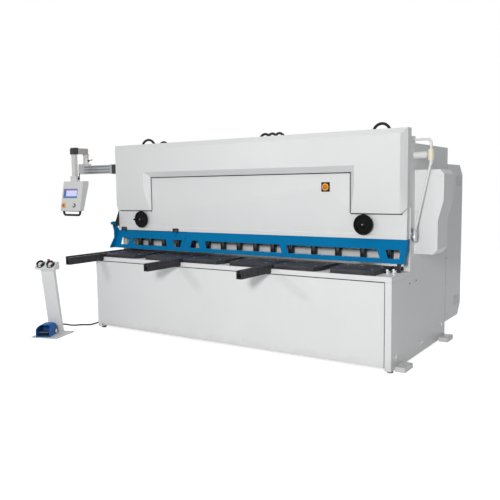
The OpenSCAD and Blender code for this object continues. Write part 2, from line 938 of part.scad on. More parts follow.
// Solid form of the cover, all outer faces moved inwards by t
module cover_form(t) {
  outer = [
    [-hw, upper_y + 2 * t], [-hw, cover_y + cover_bevel], [-hw + cover_bevel, cover_y],
    [hw - cover_bevel, cover_y], [hw, cover_y + cover_bevel], [hw, upper_y + 2 * t]];
  face = [
    [-hw, cover_top], [-hw, cover_low + cover_corner], [-hw + cover_corner, cover_low],
    [hw - cover_corner, cover_low], [hw, cover_low + cover_corner], [hw, cover_top]];
  back = cover_y + recess_step;
  d = 2 * recess_step;
  difference() {
    intersection() {
      linear_extrude(cover_top + eps) polygon(inset(outer, t));
      run_y(cover_y - eps, upper_y + eps) polygon(inset(face, t));
    }
    intersection() {
      linear_extrude(cover_top) polygon([
        [-recess_x - 1.4 * t, back], [-recess_x - 1.4 * t - d, back - d],
        [recess_x + 1.4 * t + d, back - d], [recess_x + 1.4 * t, back],
        [recess_x + 1.4 * t, upper_y + 1], [-recess_x - 1.4 * t, upper_y + 1]]);
      run_x(-hw, hw) polygon([
        [back - d, 0], [upper_y + 1, 0], [upper_y + 1, recess_top + 1.4 * t],
        [back, recess_top + 1.4 * t], [back - d, recess_top + 1.4 * t + d]]);
    }
  }
}

module front_cover() {
  back = cover_y + recess_step;
  color(white) difference() {
    cover_form(0);
    cover_form(cover_t);
    block(
      [-sheet_side - 1, back, cover_low - eps],
      [sheet_side + 1, upper_y + eps, sheet_top + 20]);
  }
}

module recess_panel() {
  t = panel_t;
  color(white) difference() {
    union() {
      run_x(-sheet_side, sheet_side) polygon([
        [sheet_y, sheet_top], [sheet_y, sheet_low + hem_h + hem_step], [hem_y, sheet_low + hem_h],
        [hem_y, sheet_low], [upper_y, sheet_low], [upper_y, sheet_low + t], [hem_y + t, sheet_low + t],
        [hem_y + t, sheet_low + hem_h - t / 2], [sheet_y + t, sheet_low + hem_h + hem_step - t / 2],
        [sheet_y + t, sheet_top]]);
      both_sides() block([sheet_side - t, sheet_y, sheet_low], [sheet_side, upper_y, sheet_top]);
      both_sides() wheel_boss();
      rod_y([stop_x, sheet_y - stop_collar_l, stop_z], stop_collar_d, stop_collar_l + t);
    }
    both_sides() wheel_bore();
    rod_y([stop_x, sheet_y - stop_collar_l - eps, stop_z], stem_d + 2 * fit, stop_collar_l + t + 2 * eps);
  }
}

// Flanged bearing of a handwheel on the recessed panel
module wheel_boss() {
  flange = 90;
  rod_y([wheel_x, sheet_y - wheel_boss_l, wheel_z], wheel_boss_d, wheel_boss_l + panel_t);
  rod_y([wheel_x, sheet_y - 6, wheel_z], flange, 6 + panel_t);
}

module wheel_bore() {
  l = wheel_boss_l + panel_t + 2 * eps;
  rod_y([wheel_x, sheet_y - wheel_boss_l - eps, wheel_z], wheel_shaft_d + 2 * fit, l);
}

// Handwheel with a dished face and a crank handle; angle is the handle's place on the rim
module handwheel(x, angle) {
  r = wheel_d / 2;
  hub = 30;
  y0 = sheet_y - wheel_boss_l - 1;
  tail = wheel_boss_l + panel_t + 30;
  color(black) {
    translate([x, y0, wheel_z]) rotate([90, 0, 0]) rotate_extrude($fn = 64) polygon([
      [0, 0], [hub, 0], [hub + 6, 8], [r - 22, 8], [r - 16, 2], [r - 4, 2], [r, 6], [r, wheel_t - 4],
      [r - 4, wheel_t], [r - 16, wheel_t], [r - 22, wheel_t - 8], [hub + 6, wheel_t - 8],
      [hub - 4, wheel_t], [0, wheel_t]]);
    rod_y([x, y0 - eps, wheel_z], wheel_shaft_d, tail);
    translate([x, y0 - wheel_t, wheel_z]) rotate([0, angle, 0]) translate([r - 24, 0, 0]) crank_handle();
  }
}

module crank_handle() {
  rotate([90, 0, 0]) rotate_extrude() polygon([
    [0, -12], [8, -12], [7, 4], [9, 8], [11, 28], [8, 36], [0, 38]]);
}

module handwheel_left() {
  handwheel(-wheel_x, 180);
}

module handwheel_right() {
  handwheel(wheel_x, 150);
}

// Mushroom head on a stem, along Z, with the head's lower face at 0
module mushroom(d, stem) {
  rotate_extrude() polygon([
    [0, -stem], [stem_d / 2, -stem], [stem_d / 2, 0], [d / 2 - 3, 0], [d / 2, 3],
    [d / 2, 8], [d / 2 - 5, stop_head - 2], [d / 4, stop_head], [0, stop_head]]);
}

module front_estop() {
  color(orange) translate([stop_x, sheet_y - stop_collar_l - press - 1, stop_z])
    rotate([90, 0, 0]) mushroom(stop_d, stop_collar_l + press);
}

// Slanted sheet of the finger guard, with or without a flange along its top
module guard_sheet(x0, x1, flange) {
  top = flange ? sheet_low : sheet_low - 8;
  foot = guard_y - guard_flare;
  slope = guard_flare / (sheet_low - guard_z);
  y_top = foot + slope * (top - guard_z);
  skew = guard_t * sqrt(1 + slope * slope);
  lip = foot + guard_lip;
  back = flange ? upper_y : y_top + skew;
  run_x(x0, x1) polygon([
    [y_top, top], [foot, guard_z], [lip, guard_z], [lip, guard_z + guard_t],
    [foot + skew + slope * guard_t, guard_z + guard_t],
    [y_top + skew - slope * (flange ? guard_t : 0), top - (flange ? guard_t : 0)],
    [back, top - (flange ? guard_t : 0)], [back, top]]);
}

module guard_window(w) {
  z0 = sheet_z + window_z;
  z1 = z0 + window_h;
  run_y(guard_y - guard_flare - eps, upper_y) polygon([
    [w[0] - hw, z0], [w[1] - hw, z0],
    [w[1] - hw - window_slant * w[3], z1], [w[0] - hw - window_slant * w[2], z1]]);
}

// Cheek that closes the guard's end
module guard_cheek(x0, x1) {
  foot = guard_y - guard_flare;
  run_x(x0, x1) polygon([
    [guard_y, sheet_low - 8], [foot, guard_z], [foot + guard_lip, guard_z],
    [guard_y + 50, sheet_low - 90], [guard_y + 50, sheet_low - 8]]);
}

module finger_guard() {
  color(blue) {
    difference() {
      guard_sheet(flap_x + flap_gap, hw, true);
      for (w = fixed_windows) guard_window(w);
    }
    guard_cheek(hw - guard_t, hw);
  }
}

module guard_flap() {
  knob_d = 34;
  knob_l = 30;
  knob_rise = 78;
  ear_h = 100;
  ear_y = guard_y - 80;
  foot = guard_y - guard_flare;
  toe = 70;
  toe_h = 20;
  color(blue) {
    difference() {
      guard_sheet(-hw, flap_x, false);
      for (w = flap_windows) guard_window(w);
    }
    guard_cheek(-hw, -hw + guard_t);
    run_x(-hw, -hw + guard_t) polygon([
      [foot - toe, guard_z], [foot + guard_lip, guard_z], [guard_y + 10, sheet_low - 8],
      [ear_y + 24, sheet_low + ear_h], [ear_y - 32, sheet_low + ear_h],
      [ear_y, sheet_low - 8], [ear_y, sheet_low - 90], [foot - toe, guard_z + toe_h]]);
    rod_x([-hw - knob_l, ear_y - 4, sheet_low + knob_rise], knob_d, knob_l + guard_t / 2);
    for (x = hinge_xs) translate([x - hw, 0, 0]) flap_leaf();
  }
}

// Hinge leaf on the flap, with the middle knuckle
module flap_leaf() {
  slope = guard_flare / (sheet_low - guard_z);
  drop = 44;
  l = tongue_l / 2;
  y = guard_y - slope * drop;
  difference() {
    union() {
      rod_x([-l, hinge_y, hinge_z], barrel_hinge_d, tongue_l);
      run_x(-l, l) polygon([
        [hinge_y - 4, hinge_z], [hinge_y + 5, hinge_z], [guard_y - slope * 12, hinge_z - 10],
        [y, hinge_z - drop], [y - 6, hinge_z - drop]]);
    }
    rod_x([-l - eps, hinge_y, hinge_z], hinge_pin_d + 2 * fit, tongue_l + 2 * eps);
  }
}

module guard_hinges() {
  l = tongue_l / 2 + knuckle_gap;
  color(black) for (x = hinge_xs) translate([x - hw, 0, 0]) {
    rod_x([-l - knuckle_l, hinge_y, hinge_z], hinge_pin_d, 2 * l + 2 * knuckle_l);
    for (x0 = [-l - knuckle_l, l]) {
      rod_x([x0, hinge_y, hinge_z], barrel_hinge_d, knuckle_l);
      block([x0, hinge_y, hinge_z + 4], [x0 + knuckle_l, hem_y, sheet_low + hem_h - 2]);
    }
    block([-l - knuckle_l, hem_y - 6, hinge_z + 12], [l + knuckle_l, hem_y, sheet_low + hem_h - 2]);
  }
  color(black) end_gusset();
}

// Triangular plate that stiffens the recessed panel at its left end
module end_gusset() {
  t = 6;
  reach = 85;
  foot = sheet_low + hem_h + hem_step;
  run_x(-sheet_side, -sheet_side + t) polygon([
    [sheet_y, foot], [sheet_y, cover_low - hem_step], [sheet_y - reach, foot]]);
}

// Ram, blades, guides and cylinders

module ram() {
  z0 = blade_low + blade_tuck;
  y1 = ram_y + ram_t;
  y2 = ram_y + ram_d;
  color(white) {
    run_y(ram_y, y1) polygon([
      [-ram_x, z0], [ram_x, z0 + rake_rise], [ram_x, ram_top], [-ram_x, ram_top]]);
    for (z = [flange_z, ram_top - ram_web])
      block([-ram_x, y1, z], [ram_x, y2, z + ram_web]);
    for (k = [-1, -0.5, 0, 0.5, 1])
      block(
        [k * (ram_x - ram_web / 2) - ram_web / 2, y1, flange_z],
        [k * (ram_x - ram_web / 2) + ram_web / 2, y2, ram_top]);
    both_sides() {
      block([ram_x, shoe_y - shoe_w / 2, shoe_z], [shoe_x, shoe_y + shoe_w / 2, shoe_z + shoe_h]);
      translate([cyl_x, cyl_y, ram_top]) cylinder(d = boss_d, h = boss_h);
    }
  }
}

module upper_blade() {
  y0 = cut_y + blade_gap;
  color(steel) run_y(y0, y0 + blade_t) polygon([
    [-ram_x, blade_low], [ram_x, blade_low + rake_rise],
    [ram_x, blade_low + rake_rise + blade_h], [-ram_x, blade_low + blade_h]]);
}

module ram_guides() {
  x0 = ram_x + guide_gap;
  half = shoe_w / 2 + shoe_gap;
  color(grey) both_sides() {
    block([x0, shoe_y - half - guide_w, guide_z], [inner_x, shoe_y - half, guide_z + guide_h]);
    block([x0, shoe_y + half, guide_z], [inner_x, shoe_y + half + guide_w, guide_z + guide_h]);
  }
}

module ram_cylinders() {
  body = bridge_top - gland_z;
  color(grey) both_sides() translate([cyl_x, cyl_y, 0]) {
    difference() {
      union() {
        translate([0, 0, gland_z]) cylinder(d = barrel_d, h = body);
        translate([0, 0, bridge_top]) cylinder(d = flange_cyl_d, h = flange_cyl_t);
        translate([0, 0, bridge_top + flange_cyl_t]) cylinder(d = barrel_d, h = cap_h);
      }
      translate([0, 0, gland_z + gland_h]) cylinder(d = bore_d, h = body - gland_h + flange_cyl_t);
      translate([0, 0, gland_z - eps]) cylinder(d = rod_d + 2 * fit, h = gland_h + 2 * eps);
    }
  }
}

module piston_rods() {
  z0 = ram_top + boss_h;
  color(steel) both_sides() translate([cyl_x, cyl_y, 0]) {
    translate([0, 0, z0]) cylinder(d = rod_d, h = piston_top - z0);
    translate([0, 0, piston_top - piston_h]) cylinder(d = bore_d - 2 * fit, h = piston_h);
  }
}

// Back gauge

module gauge_rail() {
  h = rail_s / 2;
  g = h - rail_groove;
  c = rail_z + h;
  run_y(rail_front, rail_back) polygon([
    [-h, rail_z], [h, rail_z], [h, c - 10], [g, c - 4], [g, c + 4], [h, c + 10], [h, rail_z + rail_s],
    [-h, rail_z + rail_s], [-h, c + 10], [-g, c + 4], [-g, c - 4], [-h, c - 10]]);
  for (y = [tank_y + 60, tank_y + tank_d - 60])
    block([-h, y - hanger_t / 2, rail_z + rail_s], [h, y + hanger_t / 2, tank_z]);
  difference() {
    union() {
      for (y = [rail_front, rail_back - bearing_l])
        block([-bearing_w / 2, y, screw_z - bearing_w / 2], [bearing_w / 2, y + bearing_l, rail_z]);
      translate([-gear_s / 2, rail_back, screw_z - gear_s / 2]) cube(gear_s);
    }
    rod_y([0, rail_front - eps, screw_z], screw_d + 2 * fit, rail_back - rail_front + gear_s * 0.4);
    rod_x([-gear_s, cross_y, screw_z], cross_d + 2 * fit, 2 * gear_s);
  }
}

module gauge_rails() {
  color(grey) {
    for (s = [-1, 1]) translate([s * gauge_x, 0, 0]) gauge_rail();
    gauge_motor();
  }
}

module gauge_motor() {
  r = motor_d / 2;
  cowl = motor_l - 30;
  translate([-gauge_x, rail_back + gear_s, screw_z]) rotate([-90, 0, 0]) rotate_extrude() polygon([
    [0, 0], [r + 8, 0], [r + 8, 12], [r, 12], [r, cowl], [r + 4, cowl], [r + 4, motor_l - 6],
    [r - 6, motor_l], [0, motor_l]]);
}

// Carriage that hangs on a gauge rail's two grooves
module gauge_carriage() {
  h = rail_s / 2 + carriage_gap;
  c = rail_z + rail_s / 2;
  g = rail_s / 2 - rail_groove + carriage_gap;
  w = carriage_w;
  difference() {
    run_y(carriage_y, carriage_y + carriage_l) polygon([
      [-w, carriage_z], [w, carriage_z], [w, c + 8], [h, c + 8], [h, c + 3], [g + 1, c + 3],
      [g + 1, c - 3], [h, c - 3],
      [h, rail_z - carriage_gap], [-h, rail_z - carriage_gap], [-h, c - 3], [-g - 1, c - 3],
      [-g - 1, c + 3], [-h, c + 3], [-h, c + 8], [-w, c + 8]]);
    rod_y([0, carriage_y - eps, screw_z], screw_d + 4 * fit, carriage_l + 2 * eps);
  }
}

module gauge_beam() {
  wall = 12;
  post_half = 40;
  post_tuck = 10;
  z0 = finger_z - 5;
  z1 = z0 + gauge_h;
  color(grey) {
    difference() {
      block([-gauge_half, gauge_y, z0], [gauge_half, gauge_y + gauge_d, z1]);
      block(
        [-gauge_half + wall, gauge_y + wall, z0 + wall],
        [gauge_half - wall, gauge_y + gauge_d + eps, z1 - wall]);
    }
    for (x = finger_xs)
      block([x - finger_w / 2, finger_y, finger_z], [x + finger_w / 2, gauge_y, finger_z + finger_t]);
    for (s = [-1, 1]) translate([s * gauge_x, 0, 0]) {
      gauge_carriage();
      block([-post_half, gauge_y, z1], [post_half, gauge_y + gauge_d, carriage_z + post_tuck]);
    }
  }
}

module gauge_screw(side) {
  l = rail_back + gear_s * 0.3 - rail_front - 2;
  color(steel) rod_y([side * gauge_x, rail_front + 1, screw_z], screw_d, l);
}

module gauge_screw_left() {
  gauge_screw(-1);
}

module gauge_screw_right() {
  gauge_screw(1);
}

module gauge_cross_shaft() {
  x = gauge_x + gear_s / 2;
  color(steel) rod_x([-x, cross_y, screw_z], cross_d, 2 * x);
}

// Rear chute, guards and power pack

module rear_chute() {
  x = inner_x - seat;
  slope = chute_drop / chute_l;
  color(grey) difference() {
    run_x(-x, x) polygon([
      [chute_y, chute_z - chute_t], [chute_y + chute_l, chute_z - chute_drop - chute_t],
      [chute_y + chute_l, chute_z - chute_drop + chute_rim], [chute_y + chute_rim, chute_z],
      [chute_y, chute_z]]);
    run_x(-x + chute_t, x - chute_t) polygon([
      [chute_y - 1, chute_z + slope], [chute_y + chute_l + 1, chute_z - chute_drop - slope],
      [chute_y + chute_l + 1, chute_z + chute_rim], [chute_y - 1, chute_z + chute_rim]]);
  }
}

module rear_guard() {
  y1 = rear_y + guard_d;
  outline = [
    [rear_y, guard_low], [y1 - 100, guard_low], [y1, guard_low + 130], [y1, guard_top - 109],
    [y1 - 125, guard_top], [rear_y, guard_top]];
  difference() {
    run_x(hw - guard_fold, hw) polygon(outline);
    run_x(hw - guard_fold - eps, hw - panel_t) polygon(inset(outline, panel_t));
    for (i = [0:louvre_count - 1], z = [guard_low + 120, guard_top - 230]) {
      y = y1 - 70 - i * louvre_pitch;
      block([hw - panel_t - eps, y - louvre_w, z], [hw + eps, y, z + louvre_h]);
    }
  }
}

module rear_guard_left() {
  color(white) mirror([1, 0, 0]) rear_guard();
}

module rear_guard_right() {
  color(white) rear_guard();
}

module oil_tank() {
  filler_x = -900;
  sight_w = 60;
  wall = 6;
  drain_boss = 60;
  drain_l = 14;
  drain_z = tank_z + drain_rise;
  y1 = tank_y + tank_d;
  middle = tank_y + tank_d / 2;
  color(grey) difference() {
    union() {
      block([-inner_x, tank_y, tank_z], [inner_x, y1, tank_top]);
      block([-inner_x, tank_y - 12, tank_top], [inner_x, y1 + 12, tank_top + lid_t]);
      translate([filler_x, middle, tank_top + lid_t]) cylinder(d = 80, h = 60);
      block(
        [filler_x - sight_w / 2, y1, tank_z + 0.24 * tank_h],
        [filler_x + sight_w / 2, y1 + 20, tank_z + 0.68 * tank_h]);
      rod_y([0, y1, drain_z], drain_boss, drain_l);
    }
    block([-inner_x + wall, tank_y + wall, tank_z + wall], [inner_x - wall, y1 - wall, tank_top]);
    rod_y([0, y1 - wall - eps, drain_z], drain_d, drain_l + wall + 2 * eps);
  }
}

module pump_motor() {
  l = 380;
  d = 200;
  fin = 8;
  pitch = 22;
  z0 = tank_top + lid_t;
  y = tank_y + tank_d / 2;
  x0 = -560;
  color(grey) {
    translate([x0, y, z0 + d / 2 + 12]) rotate([0, 90, 0]) {
      cylinder(d = d - 2 * fin, h = l);
      cylinder(d = d, h = 18);
      for (i = [1:12]) translate([0, 0, 20 + i * pitch]) cylinder(d = d, h = 9);
      translate([0, 0, l - 60]) cylinder(d = d, h = 60);
      translate([0, 0, l]) cylinder(d = 130, h = 60);
    }
    block([x0 + 60, y - 80, z0], [x0 + l - 90, y + 80, z0 + 42]);
  }
}

module valve_block() {
  z0 = tank_top + lid_t;
  y0 = tank_y + 90;
  y1 = y0 + 160;
  coil_xs = [-30, 50, 130, 210];
  color(grey) {
    block([-90, y0, z0], [270, y1, z0 + 90]);
    for (x = coil_xs) {
      block([x - 25, y0 + 30, z0 + 90], [x + 25, y1 - 30, z0 + 140]);
      rod_y([x, y1 - 30, z0 + 115], 42, 90);
    }
    for (x = valve_ports) rod_y([x, y0 - 30, z0 + 60], 36, 30);
  }
}

// Half ring of hose that stands on its two ends, along X
module hose_arch(r, d) {
  rotate([90, 0, 0]) rotate_extrude(angle = 180) translate([r, 0]) circle(d = d, $fn = 24);
}

module hose_nut(d) {
  cylinder(d = d + 18, h = d, $fn = 6);
}

// Hose from a cylinder's cap at x0 over to the beam at x1; its arch springs at height z
module cylinder_hose(x0, x1, z, d) {
  for (foot = [[x0, cap_top], [x1, bridge_top]]) translate([foot.x, cyl_y, foot.y]) {
    hose_nut(d);
    cylinder(d = d, h = z - foot.y);
  }
  translate([(x0 + x1) / 2, cyl_y, z]) hose_arch(abs(x1 - x0) / 2, d);
}

module hoses() {
  d = 28;
  // Each cylinder hose: its ends on the cap and on the beam, and its straight rise above the cap
  runs = [
    [-cyl_x - 35, -cyl_x - 250, 54], [-cyl_x + 35, -cyl_x + 170, 54], [cyl_x + 45, cyl_x - 125, 77]];
  valve_y = tank_y + 60;
  hose_y = valve_y - 20;
  valve_z = tank_top + lid_t + 60;
  reach = (hose_y - cyl_y) / 2;
  leg = bridge_top + 60;
  color(black) {
    for (run = runs) cylinder_hose(run[0], run[1], cap_top + run[2], d);
    for (x = valve_ports) translate([x, 0, 0]) {
      translate([0, cyl_y + reach, leg]) rotate([0, 0, 90]) hose_arch(reach, d);
      translate([0, cyl_y, bridge_top]) cylinder(d = d, h = leg - bridge_top);
      translate([0, cyl_y, bridge_top]) hose_nut(d);
      translate([0, hose_y, valve_z]) cylinder(d = d, h = leg - valve_z);
      translate([0, hose_y, valve_z]) sphere(d = d);
      rod_y([0, hose_y, valve_z], d, valve_y - hose_y);
    }
  }
}

// Right flank

module side_housing() {
  t = panel_t;
  z1 = housing_top;
  y1 = housing_y + housing_d;
  waist = housing_w - 50;
  outline = [
    [hw, housing_z], [hw + waist - 36, housing_z],
    [hw + waist, housing_z + 48], [hw + waist, housing_z + waist_top * housing_h],
    [hw + housing_w, housing_z + shoulder * housing_h], [hw + housing_w, z1 - 40],
    [hw + housing_w - 36, z1], [hw, z1]];
  color(white) difference() {
    run_y(housing_y, y1) polygon(outline);
    run_y(housing_y + t, y1 - t) polygon(inset(outline, t));
    block([hw - eps, housing_y + t, housing_z + t], [hw + 2 * t, y1 - t, z1 - t]);
  }
}

module shaft_stub() {
  cream = [0.93, 0.9, 0.78];
  color(white) rod_x([hw, stub_y, stub_z], stub_d, stub_l - stub_d / 2);
  color(cream) {
    rod_x([hw, stub_y, stub_z], fitting_d / 2, stub_l);
    translate([hw + stub_l, stub_y, stub_z - fitting_h / 2]) cylinder(d = fitting_d, h = fitting_h);
  }
}

module side_pipe() {
  x = hw + stub_l;
  bend_z = pipe_top - pipe_r;
  fitting_top = stub_z + fitting_h / 2;
  top = [x, stub_y, stub_z - fitting_h / 2];
  nut_d = 38;
  nut_h = 44;
  elbow_d = 30;
  union_d = pipe_d + 10;
  union_h = 36;
  color(white) {
    rod_x([hw, stub_y, pipe_top], pipe_d, stub_l - pipe_r);
    translate([x - pipe_r, stub_y, bend_z]) rotate([90, 0, 0])
      rotate_extrude(angle = 90) translate([pipe_r, 0]) circle(d = pipe_d);
    translate([x, stub_y, fitting_top]) cylinder(d = pipe_d, h = bend_z - fitting_top);
    translate([top.x, top.y, top.z - union_h]) cylinder(d = union_d, h = union_h);
    rod_between(pipe_foot, top - [0, 0, union_h / 2], pipe_d);
  }
  color(steel) {
    translate([pipe_foot.x, pipe_foot.y, pipe_foot.z - nut_h / 2]) cylinder(d = nut_d, h = nut_h, $fn = 6);
    rod_x([hw, pipe_foot.y, pipe_foot.z - nut_h / 4], elbow_d, pipe_foot.x - hw);
  }
}

// Pendant

module pendant_rail() {
  y1 = boom_y + boom_d;
  g = boom_groove;
  pitch = boom_h / 3;
  rim = 7;
  color(black) block([-hw - clamp_l, boom_y - rim, boom_z - rim], [-hw, y1 + rim, boom_top + rim]);
  color(grey) difference() {
    union() {
      block([boom_x, boom_y, boom_z], [-hw, y1, boom_top]);
      block([boom_x, boom_y + 6, boom_top], [pend_x + 54, y1 - 6, collar_z]);
      translate([pend_x, pivot_y, collar_z]) cylinder(d = collar_d, h = collar_h);
    }
    for (i = [0:2], y = [boom_y, y1]) {
      z = boom_z + (i + 0.5) * pitch;
      block([boom_x + 110, y - g, z - 6], [-hw - clamp_l / 2, y + g, z + 6]);
    }
    translate([pend_x, pivot_y, collar_z]) cylinder(d = pivot_d + 2 * fit, h = collar_h + eps);
  }
}

module pendant_arm() {
  r = arm_sec_w / 2;
  top = arm_z + arm_sec_h;
  gap = 1;
  cap = corner_w / 2;
  color(white) {
    translate([pend_x, pivot_y, collar_z + gap]) cylinder(d = pivot_d, h = arm_z - collar_z);
    translate([pend_x, pivot_y, collar_top + gap]) cylinder(d = 2 * r - 8, h = arm_z - collar_top);
    translate([pend_x, pivot_y, arm_z]) cylinder(r = r, h = arm_sec_h);
    block([pend_x - r, tube_y, arm_z], [pend_x + r, pivot_y, top]);
    translate([pend_x - tube_w / 2, tube_y - tube_d / 2, head_top + gap])
      cube([tube_w, tube_d, arm_z - head_top - gap]);
    translate([pend_x, tube_y, pend_top + 8]) cylinder(d = pivot_d, h = head_top - pend_top);
  }
  color(black) block([pend_x - cap, tube_y - cap, arm_z - 6], [pend_x + cap, tube_y + cap, top + 6]);
}

// Clamp lever along X: hub at the origin, handle along +Y
module clamp_lever() {
  rotate([0, 90, 0]) cylinder(d = lever_hub_d, h = lever_hub_l);
  translate([lever_hub_l / 2, 0, 0]) rotate([-90, 0, 0]) rotate_extrude() polygon([
    [0, 0], [lever_d / 2 + 1, 0], [lever_d / 2 - 1, lever_l * 0.5], [lever_d / 2 + 2, lever_l - 6],
    [lever_d / 2, lever_l], [0, lever_l]]);
}

module arm_clamp() {
  color(black) translate([pend_x + collar_d / 2 + seat, pivot_y, collar_z + collar_h / 2])
    rotate([15, 0, 0]) clamp_lever();
}

module head_clamp() {
  color(black) translate([pend_x + head_w / 2 + seat, tube_y, pend_top + head_h / 2])
    rotate([75, 0, 0]) clamp_lever();
}

// Places its children on the pendant's slanted face, x across and z up from the face's top edge
module on_face() {
  translate([box_x, pend_face, pend_top]) rotate([-pendant_tilt, 0, 0]) children();
}

module pendant_box() {
  low = pend_face - pend_shift;
  collar = 6;
  color(white) difference() {
    union() {
      run_x(box_x - pendant_w / 2, box_x + pendant_w / 2) polygon([
        [pend_face, pend_top], [low, pend_bottom], [low + pend_low_d, pend_bottom],
        [pend_face + pendant_d, pend_top - 40], [pend_face + pendant_d, pend_top]]);
      translate([pend_x - head_w / 2, tube_y - head_d / 2, pend_top]) cube([head_w, head_d, head_h]);
      for (x = [pend_stop_x, pend_button_x])
        on_face() rod_y([x, -collar, -button_down], stop_collar_d, collar + 2);
    }
    translate([pend_x, tube_y, pend_top + 6]) cylinder(d = pivot_d + 2 * fit, h = head_h);
    on_face() block(
      [screen_x - screen_w / 2 - seat, -eps, -screen_down - screen_h - seat],
      [screen_x + screen_w / 2 + seat, screen_t, -screen_down + seat]);
    for (x = [pend_stop_x, pend_button_x])
      on_face() rod_y([x, -collar - eps, -button_down], stem_d + 2 * fit, 22);
  }
}

module pendant_screen() {
  color([0.62, 0.66, 0.9]) on_face() block(
    [screen_x - screen_w / 2, -1, -screen_down - screen_h],
    [screen_x + screen_w / 2, screen_t, -screen_down]);
}

module pendant_handle() {
  y = pend_face - pend_shift + pend_low_d / 2;
  z = pend_bottom - handle_drop;
  band = 8;
  end = handle_half + handle_d / 2;
  color(black) {
    block(
      [box_x - end, y - handle_d / 2, pend_bottom - band],
      [box_x + end, y + handle_d / 2, pend_bottom]);
    for (s = [-1, 1]) {
      translate([box_x + s * handle_half, y, z]) cylinder(d = handle_d, h = handle_drop - band / 2);
      translate([box_x + s * handle_half, y, z]) sphere(d = handle_d);
    }
    rod_x([box_x - handle_half, y, z], handle_d, 2 * handle_half);
  }
}

module face_button(x, d) {
  on_face() translate([x, -6 - press - 1, -button_down]) rotate([90, 0, 0]) mushroom(d, 6 + press);
}

module pendant_estop() {
  color(orange) face_button(pend_stop_x, stop_d);
}

module pendant_button() {
  color(white) face_button(pend_button_x, stop_d - 12);
}

// Pedestal, in its own turned frame

module at_pedestal() {
  translate([ped_x, ped_y, 0]) rotate([0, 0, ped_turn]) children();
}

module pedestal_stand() {
  x0 = column_x - column_w / 2;
  y0 = column_y - column_d / 2;
  y1 = column_y + column_d / 2;
  color(white) at_pedestal() {
    block([-base_w / 2, -base_d / 2, 0], [base_w / 2, base_d / 2, base_t]);
    run_x(x0, x0 + column_w) polygon([
      [y0, base_t], [y1, base_t], [y1 - lean_shift, column_h], [y0 - lean_shift, column_h]]);
  }
}

module pedestal_console() {
  y0 = console_y - console_d / 2;
  x0 = column_x - console_w / 2;
  tuck = 3;
  hole = 30;
  at_pedestal() difference() {
    union() {
      color(white) run_x(x0, x0 + console_w) polygon([
        [y0 + 14, column_h], [console_back, column_h], [console_back, console_z],
        [console_back - console_flat, console_z], [y0, console_z - console_edge * tan(console_slope)]]);
      for (s = [-1, 1]) color(black) on_slope(s * palm_x) palm_guard(tuck);
      color(black) on_lid() translate([0, 0, -tuck]) cylinder(d = stop_collar_d, h = 8 + tuck);
    }
    on_lid() translate([0, 0, -hole]) cylinder(d = stem_d + 2 * fit, h = 2 * hole);
    for (s = [-1, 1])
      on_slope(s * palm_x) translate([0, 0, -hole]) cylinder(d = stem_d + 2 * fit, h = 2 * hole);
  }
}

// Middle of the console's flat top
module on_lid() {
  translate([column_x, console_back - console_flat / 2, console_z]) children();
}

// Place on the middle line of the console's slanted front, x to the right of its middle
module on_slope(x) {
  y = console_y - console_flat / 2;
  z = console_z - console_edge / 2 * tan(console_slope);
  translate([column_x + x, y, z]) rotate([console_slope, 0, 0]) children();
}

// Ring that shields a palm button, open towards the operator, with its foot tucked into the console
module palm_guard(tuck) {
  r = palm_ring_d / 2;
  h = palm_ring_h + tuck;
  translate([0, 0, -tuck]) difference() {
    cylinder(r = r, h = h);
    translate([0, 0, -eps]) cylinder(r = r - palm_ring_t, h = h + 2 * eps);
    translate([-r / 2, -r - 1, -eps]) cube([r, r, h + 2 * eps]);
  }
}

module console_stop(d, lift) {
  translate([0, 0, lift]) mushroom(d, lift + 18);
}

module console_estop() {
  color(red) at_pedestal() on_lid() console_stop(stop_d - 4, 8 + press + 1);
}

module console_button_left() {
  color(black) at_pedestal() on_slope(-palm_x) console_stop(palm_d, press + 1);
}

module console_button_right() {
  color(black) at_pedestal() on_slope(palm_x) console_stop(palm_d, press + 1);
}

// Arched outline of the pedal's hood, in X and Z
module hood_outline(w, h, r) {
  polygon(concat(
    [[-w / 2, 0], [w / 2, 0]],
    [for (a = [0:15:90]) [w / 2 - r + r * cos(a), h - r + r * sin(a)]],
    [for (a = [90:15:180]) [r - w / 2 + r * cos(a), h - r + r * sin(a)]]));
}

module at_hood() {
  at_pedestal() translate([column_x, hood_y, base_t]) rotate([0, 0, hood_turn]) children();
}

module pedal_hood() {
  t = hood_t;
  y0 = -hood_d / 2;
  y1 = hood_d / 2;
  pin_y = y1 - pedal_pin_back;
  color([0.0, 0.32, 0.6]) at_hood() {
    difference() {
      run_y(y0, y1) hood_outline(hood_w, hood_h, hood_r);
      translate([0, 0, t]) run_y(y0 - eps, y1 - t) hood_outline(hood_w - 2 * t, hood_h - 2 * t, hood_r - t);
      run_x(-hood_w, hood_w) polygon([
        [y0 - eps, hood_h - 40], [y0 + 70, hood_h + eps], [y0 - eps, hood_h + eps]]);
    }
    rod_x([-hood_w / 2, pin_y, pedal_pin_z], pedal_pin_d, hood_w);
    rod_x([hood_w / 2, pin_y, pedal_pin_z + 8], 44, 10);
  }
}

module foot_pedal() {
  l = hood_d - pedal_pin_back - 30;
  pin_y = hood_d / 2 - pedal_pin_back;
  color(grey) at_hood() translate([0, pin_y, pedal_pin_z]) rotate([-pedal_tilt, 0, 0]) difference() {
    union() {
      block([-pedal_w / 2, -l, -pedal_t / 2], [pedal_w / 2, 0, pedal_t / 2]);
      rod_x([-pedal_w / 2, 0, 0], pedal_pin_d + 12, pedal_w);
    }
    rod_x([-pedal_w / 2 - eps, 0, 0], pedal_pin_d + 2 * fit, pedal_w + 2 * eps);
  }
}

// Cable and its glands

